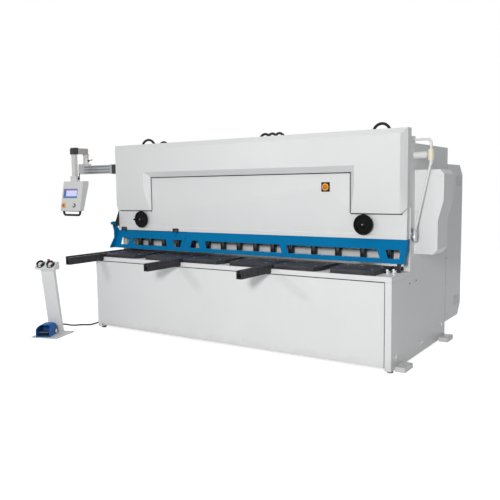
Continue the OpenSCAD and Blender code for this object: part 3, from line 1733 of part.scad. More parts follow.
// Frame of the cable's section at point i: a sideways and an upward unit vector
function along(i) = unit(cable_route[min(i + 1, len(cable_route) - 1)] - cable_route[max(i - 1, 0)]);
function sideways(i) = unit(cross(along(i), [0, 0, 1]));
function ring(i) = [
  for (k = [0:cable_sides - 1])
    let (a = 360 * k / cable_sides)
      cable_route[i] + cable_d / 2 * (cos(a) * sideways(i) + sin(a) * cross(sideways(i), along(i)))];

module pedestal_cable() {
  n = len(cable_route);
  s = cable_sides;
  color(black) polyhedron(
    points = [for (i = [0:n - 1]) each ring(i)],
    faces = concat(
      [[for (k = [0:s - 1]) s - 1 - k]],
      [for (i = [0:n - 2], k = [0:s - 1])
        [i * s + k, i * s + (k + 1) % s, (i + 1) * s + (k + 1) % s, (i + 1) * s + k]],
      [[for (k = [0:s - 1]) (n - 1) * s + k]]));
}

// Gland with a hexagon and a domed nut, along Z
module gland() {
  difference() {
    union() {
      cylinder(d = gland_d, h = 10, $fn = 6);
      cylinder(d = gland_d - 6, h = gland_l - 8);
      translate([0, 0, gland_l - 8]) cylinder(d1 = gland_d - 6, d2 = cable_d + 4, h = 8);
    }
    translate([0, 0, 4]) cylinder(d = cable_d, h = gland_l);
  }
}

module cable_glands() {
  color(black) {
    at_pedestal() translate([column_x, gland_y, base_t + gland_rise]) rotate([-90 + lean, 0, 0]) gland();
    translate(frame_gland) rotate([0, -90, 0]) gland();
  }
}

side_frame_left();
side_frame_right();
frame_fasteners();
anchor_feet();
cross_beams();
table_bed();
front_panel();
lower_blade();
table_plates();
squaring_arm();
support_arms();
holddown_beam();
holddown_cylinders();
holddown_plungers();
front_cover();
recess_panel();
finger_guard();
guard_flap();
guard_hinges();
handwheel_left();
handwheel_right();
front_estop();
ram();
upper_blade();
ram_guides();
ram_cylinders();
piston_rods();
gauge_rails();
gauge_beam();
gauge_screw_left();
gauge_screw_right();
gauge_cross_shaft();
rear_chute();
rear_guard_left();
rear_guard_right();
oil_tank();
pump_motor();
valve_block();
hoses();
side_housing();
shaft_stub();
side_pipe();
pendant_rail();
pendant_arm();
arm_clamp();
pendant_box();
pendant_screen();
pendant_handle();
pendant_estop();
pendant_button();
head_clamp();
pedestal_stand();
pedestal_console();
console_estop();
console_button_left();
console_button_right();
pedal_hood();
foot_pedal();
pedestal_cable();
cable_glands();
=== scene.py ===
# %% [markdown]
# # A hydraulic guillotine shear
# The solids of the machine come from its CAD model. This lesson dresses them: every solid gets a
# finish, sheet metal gets rounded folds, and the small fittings that a maker would add are modelled.

# %% Load the machine as a fixed frame
import json
import math

import bmesh
import bpy
from mathutils import Matrix, Vector


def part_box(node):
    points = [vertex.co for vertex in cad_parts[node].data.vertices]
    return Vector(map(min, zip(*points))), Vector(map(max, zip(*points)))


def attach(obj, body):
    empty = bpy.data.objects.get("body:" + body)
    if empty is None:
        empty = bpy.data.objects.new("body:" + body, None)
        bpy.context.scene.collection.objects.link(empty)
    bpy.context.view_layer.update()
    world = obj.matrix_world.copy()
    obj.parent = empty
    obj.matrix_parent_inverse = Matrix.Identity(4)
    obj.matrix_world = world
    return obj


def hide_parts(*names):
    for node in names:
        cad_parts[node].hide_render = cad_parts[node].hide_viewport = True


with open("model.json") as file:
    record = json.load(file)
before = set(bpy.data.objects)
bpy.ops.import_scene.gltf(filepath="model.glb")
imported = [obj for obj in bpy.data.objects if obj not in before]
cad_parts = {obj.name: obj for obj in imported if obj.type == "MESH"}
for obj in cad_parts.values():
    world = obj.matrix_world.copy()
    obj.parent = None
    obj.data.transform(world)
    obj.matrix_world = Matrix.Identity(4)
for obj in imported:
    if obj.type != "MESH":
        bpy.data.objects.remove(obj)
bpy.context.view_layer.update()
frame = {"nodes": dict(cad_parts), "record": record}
BODIES = frame["record"]["behaviour"]["bodies"]
BODY_OF = {node: body for body, nodes in BODIES.items() for node in nodes}
SLOT_OF = {part["node"]: part["material_slot"] for part in frame["record"]["subparts"]}
X, Y, Z = (1.0, 0.0, 0.0), (0.0, 1.0, 0.0), (0.0, 0.0, 1.0)
FRONT = (0.0, -1.0, 0.0)

# %% [markdown]
# ## Camera
# The photograph was taken from the front right of the machine, at about eye height, with a normal lens.
# The lens and the place were fitted to its straight edges.

# %% Camera
CAMERA_AT = Vector((3.727, -5.872, 1.629))
CAMERA_YAW = 33.72
CAMERA_PITCH = 5.77
CAMERA_ROLL = -0.77
LENS_MM = 45.17
SENSOR_MM = 36.0


def turned(degrees, axis):
    return Matrix.Rotation(math.radians(degrees), 4, axis)


lens = bpy.data.cameras.new("photo_camera")
lens.lens = LENS_MM
lens.sensor_fit = "HORIZONTAL"
lens.sensor_width = SENSOR_MM
camera = bpy.data.objects.new("photo_camera", lens)
aim = turned(CAMERA_YAW, "Z") @ turned(90.0 - CAMERA_PITCH, "X") @ turned(CAMERA_ROLL, "Z")
camera.matrix_world = Matrix.Translation(CAMERA_AT) @ aim
bpy.context.scene.collection.objects.link(camera)
bpy.context.scene.camera = camera
print("camera at", tuple(CAMERA_AT))

# %% [markdown]
# ## Node helpers
# The background, the floor and every finish are trees of shader nodes. These short functions add a node,
# link it and give back its output, so that a finish reads as a recipe.

# %% Node helpers
def new_group(name, inputs, outputs):
    """Empty node group with the named sockets; a socket is (name, type, default)."""
    group = bpy.data.node_groups.new(name, "ShaderNodeTree")
    for label, kind, default in inputs:
        socket = group.interface.new_socket(label, in_out="INPUT", socket_type="NodeSocket" + kind)
        socket.default_value = default
    for label, kind in outputs:
        group.interface.new_socket(label, in_out="OUTPUT", socket_type="NodeSocket" + kind)
    return group, group.nodes.new("NodeGroupInput"), group.nodes.new("NodeGroupOutput")


def feed(tree, socket, value):
    """Links a socket to an input, or sets the input to a plain value."""
    if isinstance(value, bpy.types.NodeSocket):
        tree.links.new(value, socket)
    else:
        socket.default_value = value


def wire(tree, target, sockets):
    """Links each named input of a node to its socket."""
    for key, source in sockets.items():
        tree.links.new(source, target.inputs[key])


def node(tree, kind, links=(), **values):
    """Adds a node; values set its properties or, by socket name, its inputs; links feed its inputs."""
    made = tree.nodes.new("ShaderNode" + kind)
    for key, value in values.items():
        if hasattr(made, key):
            setattr(made, key, value)
        else:
            made.inputs[key].default_value = value
    wire(tree, made, dict(links))
    return made


def object_noise(tree, scale, detail=3.0, stretch=None):
    """Noise on Object coordinates, stretched along the axes by a vector or a socket."""
    place = node(tree, "TexCoord").outputs["Object"]
    if stretch is not None:
        product = node(tree, "VectorMath", {0: place}, operation="MULTIPLY")
        feed(tree, product.inputs[1], stretch)
        place = product.outputs[0]
    noise = node(tree, "TexNoise", {"Vector": place}, Scale=scale, Detail=detail)
    return noise.outputs["Fac"]


def spread(tree, value, low, high, to_low, to_high):
    """Maps a value from one span to another, clamped."""
    ranged = node(tree, "MapRange", {"Value": value})
    for key, number in zip(("From Min", "From Max", "To Min", "To Max"), (low, high, to_low, to_high)):
        feed(tree, ranged.inputs[key], number)
    return ranged.outputs["Result"]


def both(tree, first, second):
    """Product of two values: a mask that is 1 where two masks are."""
    return node(tree, "Math", {0: first, 1: second}, operation="MULTIPLY").outputs[0]


def plus(tree, first, second):
    return node(tree, "Math", {0: first, 1: second}, operation="ADD").outputs[0]


def toned(tree, colour, shade):
    """Colour made darker or lighter by a factor."""
    return node(tree, "HueSaturation", {"Color": colour, "Value": shade}).outputs["Color"]


def mix_colour(tree, factor, first, second):
    mixed = tree.nodes.new("ShaderNodeMix")
    mixed.data_type = "RGBA"
    for key, value in (("Factor", factor), (6, first), (7, second)):
        feed(tree, mixed.inputs[key], value)
    return mixed.outputs[2]


# %% [markdown]
# ## Floor and light
# A studio shot: a pale floor that runs into a white background, a strong lamp near the camera, a weaker
# one high on the left, a wide one behind for the rear, one overhead, and a soft, slightly cool sky. The
# arms' two sets of faint shadows on the front panel show where the front lamps stood. The floor looks
# white to the camera but adds no light of its own.

# %% World, floor and lamps
scene = bpy.context.scene
scene.view_settings.view_transform = "Standard"
WHITE = (1.0, 1.0, 1.0, 1.0)
SKY_LIGHT = 0.20
SKY_TINT = (0.90, 0.95, 1.0, 1.0)
FLOOR_SIZE = 40.0
FLOOR_COLOUR = (0.76, 0.76, 0.765, 1.0)
FLOOR_LIFT = 0.80
FLOOR_ROUGH = 0.9
# Name, place, aim, width and height, and watts of each lamp
LAMPS = [
    ("right_lamp", (2.9, -7.3, 2.7), (0.2, -0.4, 1.0), (0.9, 0.9), 285.0),
    ("left_lamp", (-2.3, -4.8, 2.6), (-0.2, -0.4, 1.0), (0.6, 0.6), 29.0),
    ("rear_lamp", (-0.8, 7.5, 4.4), (-0.3, 0.5, 1.0), (2.6, 2.0), 150.0),
    ("top_lamp", (0.0, -1.0, 6.5), (0.0, 0.0, 0.0), (6.0, 4.0), 85.0),
]


def seen_directly(tree):
    """Socket that is 1 for what the camera, a mirror or a glass sees, and 0 for what only lights."""
    path = node(tree, "LightPath")
    seen = path.outputs["Is Camera Ray"]
    for ray in ("Is Glossy Ray", "Is Transmission Ray"):
        seen = node(tree, "Math", {0: seen, 1: path.outputs[ray]}, operation="MAXIMUM").outputs[0]
    return seen


def build_world():
    world = bpy.data.worlds.new("studio")
    world.use_nodes = True
    tree = world.node_tree
    seen = seen_directly(tree)
    wire(tree, tree.nodes["Background"], {"Color": mix_colour(tree, seen, SKY_TINT, WHITE),
                                          "Strength": spread(tree, seen, 0.0, 1.0, SKY_LIGHT, 1.0)})
    scene.world = world


def build_floor():
    mesh = bpy.data.meshes.new("studio_floor")
    bm = bmesh.new()
    bmesh.ops.create_grid(bm, x_segments=1, y_segments=1, size=FLOOR_SIZE)
    bm.to_mesh(mesh)
    bm.free()
    floor = bpy.data.objects.new("studio_floor", mesh)
    scene.collection.objects.link(floor)
    paint = bpy.data.materials.new("studio_floor")
    paint.use_nodes = True
    tree = paint.node_tree
    surface = tree.nodes["Principled BSDF"]
    surface.inputs["Base Color"].default_value = FLOOR_COLOUR
    surface.inputs["Roughness"].default_value = FLOOR_ROUGH
    surface.inputs["Emission Color"].default_value = WHITE
    lift = spread(tree, seen_directly(tree), 0.0, 1.0, 0.0, FLOOR_LIFT)
    wire(tree, surface, {"Emission Strength": lift})
    mesh.materials.append(paint)


def add_lamp(name, at, aim, size, watts):
    lamp = bpy.data.lights.new(name, "AREA")
    lamp.shape = "RECTANGLE"
    lamp.size, lamp.size_y = size
    lamp.energy = watts
    body = bpy.data.objects.new(name, lamp)
    aimed = (Vector(aim) - Vector(at)).to_track_quat("-Z", "Y")
    body.matrix_world = Matrix.Translation(at) @ aimed.to_matrix().to_4x4()
    scene.collection.objects.link(body)


build_world()
build_floor()
for lamp in LAMPS:
    add_lamp(*lamp)
print("lamps:", [lamp[0] for lamp in LAMPS])

# %% [markdown]
# ## The cable
# One black cable runs from the pedestal's column over the floor into the left side frame. Its run over
# the floor shows, so it follows the plan of the CAD model's route, but it sinks to the floor and rises
# from it more slowly, as a stiff cable does.

# %% Cable
CABLE_D = 0.018
CABLE_ROUTE = [
    (-2.0559, -1.2010, 0.0631), (-2.0647, -1.1731, 0.0665), (-2.0760, -1.1351, 0.0670),
    (-2.0873, -1.0949, 0.0615), (-2.0981, -1.0561, 0.0510), (-2.1061, -1.0182, 0.0385),
    (-2.1112, -0.9792, 0.0265), (-2.1098, -0.9409, 0.0165), (-2.1000, -0.9038, 0.0118),
    (-2.0823, -0.8710, 0.0100), (-2.0563, -0.8438, 0.0100), (-2.0244, -0.8247, 0.0102),
    (-1.9886, -0.8110, 0.0115), (-1.9522, -0.8004, 0.0165), (-1.9187, -0.7910, 0.0260),
    (-1.8837, -0.7829, 0.0385), (-1.8498, -0.7770, 0.0500), (-1.8260, -0.7750, 0.0580)]


def build_cable():
    curve = bpy.data.curves.new("pedestal_cable_lead", "CURVE")
    curve.dimensions = "3D"
    curve.bevel_depth = 1.0
    curve.bevel_resolution = 4
    curve.resolution_u = 4
    curve.use_fill_caps = True
    spline = curve.splines.new("BEZIER")
    spline.bezier_points.add(len(CABLE_ROUTE) - 1)
    for point, at in zip(spline.bezier_points, CABLE_ROUTE):
        point.co = at
        point.radius = CABLE_D / 2
        point.handle_left_type = point.handle_right_type = "AUTO"
    lead = bpy.data.objects.new("pedestal_cable_lead", curve)
    scene.collection.objects.link(lead)
    return lead


cable = build_cable()
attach(cable, BODY_OF["pedestal_cable"])
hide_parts("pedestal_cable")

# %% [markdown]
# ## Shared effects
# Most surfaces share a few effects: the faint unevenness of sprayed paint, the lines of a ground or
# brushed metal, scuffs on dark steel, and dust near the floor. Each is a node group with named
# inputs, built once and used with other values in each finish.

# %% Paint, dust, brushing and scuffs
DUST = (0.36, 0.33, 0.29, 1.0)
SURFACE = [("Colour", "Color"), ("Roughness", "Float"), ("Height", "Float")]


def build_paint_skin():
    group, take, give = new_group(
        "paint_skin",
        [("Colour", "Color", WHITE), ("Mottle", "Float", 0.04), ("Gloss", "Float", 0.4)],
        SURFACE)
    cloud = object_noise(group, 1.7, 5.0)
    low = node(group, "Math", {1: take.outputs["Mottle"]}, operation="SUBTRACT")
    low.inputs[0].default_value = 1.0
    shade = spread(group, cloud, 0.3, 0.7, low.outputs[0], 1.0)
    sheen = spread(group, object_noise(group, 26.0, 4.0), 0.3, 0.7, -0.05, 0.05)
    wire(group, give, {"Colour": toned(group, take.outputs["Colour"], shade),
                       "Roughness": plus(group, take.outputs["Gloss"], sheen),
                       "Height": object_noise(group, 420.0, 2.0)})
    return group


def build_floor_dust():
    group, take, give = new_group(
        "floor_dust",
        [("Colour", "Color", WHITE), ("Top", "Float", 0.25), ("Strength", "Float", 0.3)],
        [("Colour", "Color")])
    height = node(group, "SeparateXYZ", {0: node(group, "TexCoord").outputs["Object"]}).outputs["Z"]
    ragged = both(group, object_noise(group, 9.0, 6.0), take.outputs["Top"])
    mask = spread(group, height, 0.0, ragged, take.outputs["Strength"], 0.0)
    wire(group, give, {"Colour": mix_colour(group, mask, take.outputs["Colour"], DUST)})
    return group


def build_brushed():
    group, take, give = new_group(
        "brushed_lines",
        [("Colour", "Color", WHITE), ("Stretch", "Vector", (1.0, 60.0, 60.0)), ("Gloss", "Float", 0.3)],
        SURFACE)
    lines = object_noise(group, 9.0, 6.0, take.outputs["Stretch"])
    shade = spread(group, lines, 0.25, 0.75, 0.82, 1.05)
    sheen = spread(group, lines, 0.3, 0.7, -0.07, 0.1)
    wire(group, give, {"Colour": toned(group, take.outputs["Colour"], shade),
                       "Roughness": plus(group, take.outputs["Gloss"], sheen), "Height": lines})
    return group


def build_scuffs():
    group, take, give = new_group(
        "sheet_scuffs",
        [("Colour", "Color", WHITE), ("Bare", "Color", (0.3, 0.3, 0.31, 1.0)), ("Amount", "Float", 0.4),
         ("Gloss", "Float", 0.5)],
        SURFACE)
    rubbed = object_noise(group, 5.0, 7.0, (1.0, 5.0, 1.0))
    lines = object_noise(group, 30.0, 4.0, (14.0, 0.6, 14.0))
    worn = both(group, rubbed, lines)
    mask = spread(group, worn, 0.24, 0.42, 0.0, take.outputs["Amount"])
    tone = mix_colour(group, mask, take.outputs["Colour"], take.outputs["Bare"])
    sheen = spread(group, worn, 0.2, 0.4, 0.08, -0.14)
    wire(group, give, {"Colour": tone, "Roughness": plus(group, take.outputs["Gloss"], sheen),
                       "Height": worn})
    return group


PAINT_SKIN = build_paint_skin()
FLOOR_DUST = build_floor_dust()
BRUSHED = build_brushed()
SCUFFS = build_scuffs()
print("effects:", [g.name for g in bpy.data.node_groups])

# %% [markdown]
# ## Finishes
# A finish is a material with one shader. Some solids carry two finishes that meet at a plane, such as
# the cream cap on the shaft stub: a step on the Object coordinate along one axis tells them apart.

# %% Finish helpers
PAINT_DEPTH = 0.0006
LINE_DEPTH = 0.0005
SCUFF_DEPTH = 0.0008
SCUFF_BUMP = 0.08


def place_group(tree, group, **values):
    made = tree.nodes.new("ShaderNodeGroup")
    made.node_tree = group
    for key, value in values.items():
        feed(tree, made.inputs[key], value)
    return made


def start_finish(name):
    material = bpy.data.materials.new(name)
    material.use_nodes = True
    return material, material.node_tree, material.node_tree.nodes["Principled BSDF"]


def add_bump(tree, surface, height, strength, distance):
    bump = node(tree, "Bump", {"Height": height}, Strength=strength, Distance=distance)
    tree.links.new(bump.outputs["Normal"], surface.inputs["Normal"])


def side_of(tree, direction, plane, above=True):
    """Mask that is 1 where the place along a direction is above, or below, a value."""
    place = node(tree, "TexCoord").outputs["Object"]
    reach = node(tree, "VectorMath", {0: place}, operation="DOT_PRODUCT")
    reach.inputs[1].default_value = direction
    test = "GREATER_THAN" if above else "LESS_THAN"
    mask = node(tree, "Math", {0: reach.outputs["Value"]}, operation=test)
    mask.inputs[1].default_value = plane
    return mask.outputs[0]


def painted(name, colour, gloss=0.42, mottle=0.03, dust=0.0, patches=(), bare=None, peel=0.05,
            shine=0.5):
    """Sprayed paint. Patches are (mask, colour) pairs laid over it, and bare is one of plain metal."""
    material, tree, surface = start_finish(name)
    tone = colour
    for mask, other in patches:
        tone = mix_colour(tree, mask(tree), tone, other)
    if bare:
        shows = bare[0](tree)
        tone = mix_colour(tree, shows, tone, bare[1])
        tree.links.new(shows, surface.inputs["Metallic"])
    skin = place_group(tree, PAINT_SKIN, Colour=tone, Mottle=mottle, Gloss=gloss)
    top = skin.outputs["Colour"]
    if dust:
        top = place_group(tree, FLOOR_DUST, Colour=top, Strength=dust).outputs["Colour"]
    wire(tree, surface, {"Base Color": top, "Roughness": skin.outputs["Roughness"]})
    add_bump(tree, surface, skin.outputs["Height"], peel, PAINT_DEPTH)
    surface.inputs["Specular IOR Level"].default_value = shine
    return material


def metal(name, colour, stretch, gloss=0.3, bump=0.06, marks=()):
    """Ground or brushed metal; marks are (mask, colour) pairs for the parts of it that are painted."""
    material, tree, surface = start_finish(name)
    lines = place_group(tree, BRUSHED, Colour=colour, Stretch=stretch, Gloss=gloss)
    tone = lines.outputs["Colour"]
    surface.inputs["Metallic"].default_value = 1.0
    shows = None
    for paint, other in marks:
        mask = paint(tree)
        tone = mix_colour(tree, mask, tone, other)
        bare = spread(tree, mask, 0.0, 1.0, 1.0, 0.0)
        shows = both(tree, shows, bare) if shows else bare
    if shows:
        tree.links.new(shows, surface.inputs["Metallic"])
    wire(tree, surface, {"Base Color": tone, "Roughness": lines.outputs["Roughness"]})
    add_bump(tree, surface, lines.outputs["Height"], bump, LINE_DEPTH)
    return material


def scuffed(name, colour, bare, amount=0.4, gloss=0.5, shine=0.5):
    """Dark steel with scuffs that show the bare metal."""
    material, tree, surface = start_finish(name)
    marks = place_group(tree, SCUFFS, Colour=colour, Bare=bare, Amount=amount, Gloss=gloss)
    surface.inputs["Specular IOR Level"].default_value = shine
    wire(tree, surface, {"Base Color": marks.outputs["Colour"], "Roughness": marks.outputs["Roughness"]})
    add_bump(tree, surface, marks.outputs["Height"], SCUFF_BUMP, SCUFF_DEPTH)
    return material


# %% The machine's finishes
PALE = (0.745, 0.745, 0.74, 1.0)
CREAM = (0.80, 0.76, 0.60, 1.0)
COAL = (0.012, 0.0115, 0.012, 1.0)
BLUE = (0.0, 0.175, 0.40, 1.0)
STEEL = (0.56, 0.57, 0.58, 1.0)
YELLOW = (0.80, 0.42, 0.01, 1.0)
CHROME = (0.72, 0.73, 0.75, 1.0)
ARM_GREY = (0.71, 0.69, 0.665, 1.0)
# Stretch of the brushed lines: along X, along X and finer, or upright
ALONG_X = (1.0, 40.0, 40.0)
RAIL_LINES = (1.0, 60.0, 60.0)
UPRIGHT = (30.0, 30.0, 1.0)

FINISH = {
    "white_paint": painted("white_paint", PALE, dust=0.25),
    "grey_paint": painted("grey_paint", (0.34, 0.35, 0.37, 1.0), mottle=0.06, dust=0.2),
    "black_steel": scuffed("black_steel", (0.023, 0.021, 0.027, 1.0), (0.11, 0.11, 0.12, 1.0),
                           amount=0.45, gloss=0.46, shine=0.25),
    "guard_blue": painted("guard_blue", BLUE, gloss=0.45, mottle=0.05, shine=0.06),
    "pedal_blue": painted("pedal_blue", (0.001, 0.105, 0.36, 1.0), gloss=0.40, mottle=0.06, dust=0.1,
                          shine=0.08),
    "machined_steel": metal("machined_steel", STEEL, ALONG_X, gloss=0.34),
    "chromed_steel": metal("chromed_steel", (0.75, 0.76, 0.78, 1.0), UPRIGHT, gloss=0.16),
    "cast_housing": painted("cast_housing", (0.2, 0.21, 0.22, 1.0), gloss=0.5, mottle=0.12, peel=0.25),
    "rail_aluminium": metal("rail_aluminium", (0.66, 0.67, 0.68, 1.0), RAIL_LINES, gloss=0.36),
    "black_plastic": painted("black_plastic", COAL, gloss=0.36, mottle=0.15, peel=0.12, shine=0.12),
    "red_plastic": painted("red_plastic", (0.55, 0.012, 0.01, 1.0), gloss=0.28, mottle=0.05),
    "orange_plastic": painted("orange_plastic", (0.70, 0.13, 0.012, 1.0), gloss=0.28, mottle=0.05),
    "white_plastic": painted("white_plastic", (0.72, 0.72, 0.7, 1.0), gloss=0.3, mottle=0.03),
    "screen_glass": painted("screen_glass", (0.34, 0.38, 0.66, 1.0), gloss=0.12, mottle=0.02, peel=0.0),
    "hose_rubber": painted("hose_rubber", (0.016, 0.016, 0.017, 1.0), gloss=0.52, mottle=0.2, peel=0.3,
                           shine=0.2),
}

# %% [markdown]
# Solids with a finish of their own follow, with the planes at which two finishes meet. The pedestal and
# its console stand turned and tilted, so their own axes are worked out first.

# %% Finishes of single solids
SEAT_Z, SEAT_Y = 0.8480, -0.4040
PAD_TOP = 0.0198
STUB_CAP_X = 1.9195
RAIL_CLAMP_X, RAIL_TOP = -2.003, 1.9205
# Planes on the pendant arm: above CORNER_Z and behind CORNER_Y its horizontal part gets a darker grey,
# which is painted shade; in front of CORNER_Y its elbow cap is black.
CORNER_Z, CORNER_Y = 2.0585, -0.4385
CONSOLE_LID_Z = 0.8246
PIPE_NUT_Z = 1.222
ABOVE_FRONT = 0.0006
PEDESTAL = Matrix.Translation((-1.970, -1.345, 0.0)) @ turned(17.0, "Z")
CONSOLE_FRONT = PEDESTAL @ Matrix.Translation((-0.040, -0.0219, 0.7955)) @ turned(40.0, "X")
FRONT_OUT = CONSOLE_FRONT.col[2].xyz
FRONT_PLANE = FRONT_OUT.dot(CONSOLE_FRONT.translation) + ABOVE_FRONT
WHEEL_BLACK = painted("wheel_black", (0.007, 0.0068, 0.0068, 1.0), gloss=0.3, mottle=0.1, shine=0.07)
SPECIAL = {
    "table_bed": painted("bed_with_dark_seat", PALE, dust=0.25, patches=[
        (lambda t: both(t, side_of(t, Z, SEAT_Z), side_of(t, Y, SEAT_Y)), (0.03, 0.029, 0.032, 1.0))]),
    "frame_fasteners": metal("bolts_and_pads", STEEL, ALONG_X, gloss=0.34,
                             marks=[(lambda t: side_of(t, Z, PAD_TOP, False), COAL)]),
    "holddown_cylinders": painted("black_gloss", (0.016, 0.015, 0.016, 1.0), gloss=0.2, mottle=0.1,
                                  shine=0.6),
    "handwheel_left": WHEEL_BLACK,
    "handwheel_right": WHEEL_BLACK,
    "console_button_left": FINISH["white_plastic"],
    "console_button_right": FINISH["white_plastic"],
    "shaft_stub": painted("stub_with_fitting", PALE, patches=[
        (lambda t: side_of(t, X, STUB_CAP_X), CREAM)]),
    "pendant_rail": metal("rail_with_clamp", (0.42, 0.43, 0.44, 1.0), RAIL_LINES, gloss=0.4,
                          marks=[(lambda t: side_of(t, X, RAIL_CLAMP_X), COAL),
                                 (lambda t: side_of(t, Z, RAIL_TOP), ARM_GREY)]),
    # Pendant arm: the darker grey on its horizontal part is painted shade; the black in front is its elbow
    # cap.
    "pendant_arm": painted("arm_with_corner_cap_and_painted_shade", ARM_GREY, patches=[
        (lambda t: both(t, side_of(t, Z, CORNER_Z), side_of(t, Y, CORNER_Y)), (0.40, 0.38, 0.36, 1.0)),
        (lambda t: both(t, side_of(t, Z, CORNER_Z), side_of(t, Y, CORNER_Y, False)), COAL)]),
    "foot_pedal": scuffed("pedal_tread", (0.12, 0.10, 0.09, 1.0), (0.3, 0.28, 0.27, 1.0),
                          amount=0.5, gloss=0.5, shine=0.3),
    "pedestal_console": painted("console_with_rings", PALE, patches=[
        (lambda t: side_of(t, FRONT_OUT, FRONT_PLANE), COAL),
        (lambda t: side_of(t, Z, CONSOLE_LID_Z), COAL)]),
    "side_pipe": painted("pipe_with_fitting", PALE, gloss=0.3, bare=(
        lambda t: side_of(t, Z, PIPE_NUT_Z, False), CHROME)),
}

# The screen's bars at its left, top and foot: axis, edge, whether above that edge, colour
SCREEN_BARS = [
    (X, -2.585, False, (0.02, 0.11, 0.32, 1.0)),
    (Z, 1.610, True, (0.2, 0.13, 0.36, 1.0)),
    (Z, 1.540, False, (0.06, 0.16, 0.4, 1.0)),
]
SCREEN_FIELD = (0.55, 0.55, 0.85, 1.0)
SCREEN_GLOW = 0.45


def lit_screen():
    """Screen of the control: a pale field with three bars."""
    material, tree, surface = start_finish("lit_screen")
    field = SCREEN_FIELD
    for axis, plane, above, colour in SCREEN_BARS:
        field = mix_colour(tree, side_of(tree, axis, plane, above), field, colour)
    shade = place_group(tree, PAINT_SKIN, Colour=field, Mottle=0.12, Gloss=0.14)
    wire(tree, surface, {"Base Color": shade.outputs["Colour"], "Emission Color": shade.outputs["Colour"],
                         "Roughness": shade.outputs["Roughness"]})
    surface.inputs["Emission Strength"].default_value = SCREEN_GLOW
    return material


SPECIAL["pendant_screen"] = lit_screen()


def dress(piece, finish):
    piece.data.materials.clear()
    piece.data.materials.append(finish)


for name, solid in frame["nodes"].items():
    dress(solid, SPECIAL.get(name, FINISH[SLOT_OF[name]]))
dress(cable, FINISH["hose_rubber"])
print("finishes:", len(bpy.data.materials))

# %% [markdown]
# ## Rounded folds
# The CAD solids have knife-sharp edges. Real sheet metal is folded over a radius and real plates are
# deburred, and those small rounds catch the light. Each visible solid is copied, its triangles are
# merged back into flat faces, and its edges are bevelled. The copy then stands for the solid.
#
# The cover gets two folds more than its solid has: a chamfer along its top front edge, and a lower part
# of its two drops that slants back to the panel. Cutting the copy at two heights and pushing the corners
# back folds outer and inner wall alike, which a bevel on a thin shell can't do.

# %% Folds of the front cover
COVER_TOP, COVER_FOOT = 2.130, 1.370
COVER_CHAMFER = 0.055
CHAMFER_Z = COVER_TOP - COVER_CHAMFER
# X and Y of the two corners at which the cover's cut-off edge begins and ends
FRONT_CORNER, SIDE_CORNER = (1.747, -0.515), (1.8, -0.462)
FRONT_WALL_Y = -0.5
DROP_FOLD_Z, DROP_CUT_Z = 1.600, 1.42
DROP_INNER_XS, DROP_OUTER_X = (1.30, 1.32), 1.70
DROP_BACK, DROP_BACK_OUTER = 0.050, 0.018
WALL = 0.004


def round_edges(bm, edges, radius, steps=2, clamp=False):
    bmesh.ops.bevel(bm, geom=edges, offset=radius, segments=steps, profile=0.5, affect="EDGES",
                    material=-1, clamp_overlap=clamp)


def corner_at(bm, x, y, z):
    return min(bm.verts, key=lambda v: (v.co - Vector((x, y, z))).length)


def fold_cover(bm):
    for height in (DROP_FOLD_Z, CHAMFER_Z):
        bmesh.ops.bisect_plane(bm, geom=bm.verts[:] + bm.edges[:] + bm.faces[:], dist=1e-6,
                               plane_co=(0.0, 0.0, height), plane_no=Z)
    front = [v for v in bm.verts if v.co.y < FRONT_WALL_Y]
    for side in (-1, 1):
        for front_z, side_z in ((DROP_FOLD_Z, DROP_CUT_Z), (CHAMFER_Z, COVER_TOP)):
            ends = [corner_at(bm, side * x, y, z)
                    for (x, y), z in ((FRONT_CORNER, front_z), (SIDE_CORNER, side_z))]
            bmesh.ops.connect_vert_pair(bm, verts=ends)
    top = [v for v in front if v.co.z > COVER_TOP - 2 * WALL]
    bmesh.ops.translate(bm, verts=top, vec=(0.0, COVER_CHAMFER, 0.0))
    foot = [v for v in front if v.co.z < COVER_FOOT + 2 * WALL]
    for side in (-1, 1):
        reveal = [v for v in foot if DROP_INNER_XS[0] < side * v.co.x < DROP_INNER_XS[1]]
        bmesh.ops.translate(bm, verts=reveal, vec=(-side * DROP_BACK, 0.0, 0.0))
    for v in foot:
        outer = abs(v.co.x) > DROP_OUTER_X
        bmesh.ops.translate(bm, verts=[v], vec=(0.0, DROP_BACK_OUTER if outer else DROP_BACK, 0.0))
    print("cover folded, corners:", len(bm.verts))


# %% [markdown]
# The pendant's swinging arm ends in cast elbows, so its two upper corners are far rounder than a deburred
# edge. They are bevelled in several steps before the small bevel runs round the whole arm.

# %% Elbows of the pendant arm
ARM_ENDS_Y = (-0.505, -0.260)
ARM_TOP = 2.130
ELBOW = 0.024


def round_arm(bm):
    upper = [e for e in bm.edges if all(v.co.z > ARM_TOP for v in e.verts)]
    ends = [e for e in upper if all(v.co.y < ARM_ENDS_Y[0] for v in e.verts)
            or all(v.co.y > ARM_ENDS_Y[1] for v in e.verts)]
    round_edges(bm, ends, ELBOW, steps=5)
    print("elbow edges rounded:", len(ends))


# %% Softened copies of the solids
FOLD = math.radians(25.0)
FLAT = math.radians(1.0)
EDGE_ROUND = {
    "front_cover": 0.0018, "recess_panel": 0.0015, "side_frame_left": 0.003, "side_frame_right": 0.003,
    "table_bed": 0.003, "front_panel": 0.0018, "finger_guard": 0.0018, "guard_flap": 0.0018,
    "table_plates": 0.003, "squaring_arm": 0.002, "support_arms": 0.002, "side_housing": 0.0018,
    "rear_guard_left": 0.001, "rear_guard_right": 0.001, "pendant_box": 0.0018, "pendant_arm": 0.002,
    "pendant_rail": 0.0012, "pedestal_stand": 0.0012, "pedestal_console": 0.002, "cross_beams": 0.003,
    "anchor_feet": 0.003, "oil_tank": 0.0018, "gauge_beam": 0.002, "gauge_rails": 0.0012,
    "holddown_beam": 0.003, "ram": 0.003, "valve_block": 0.003, "pump_motor": 0.0012,
}


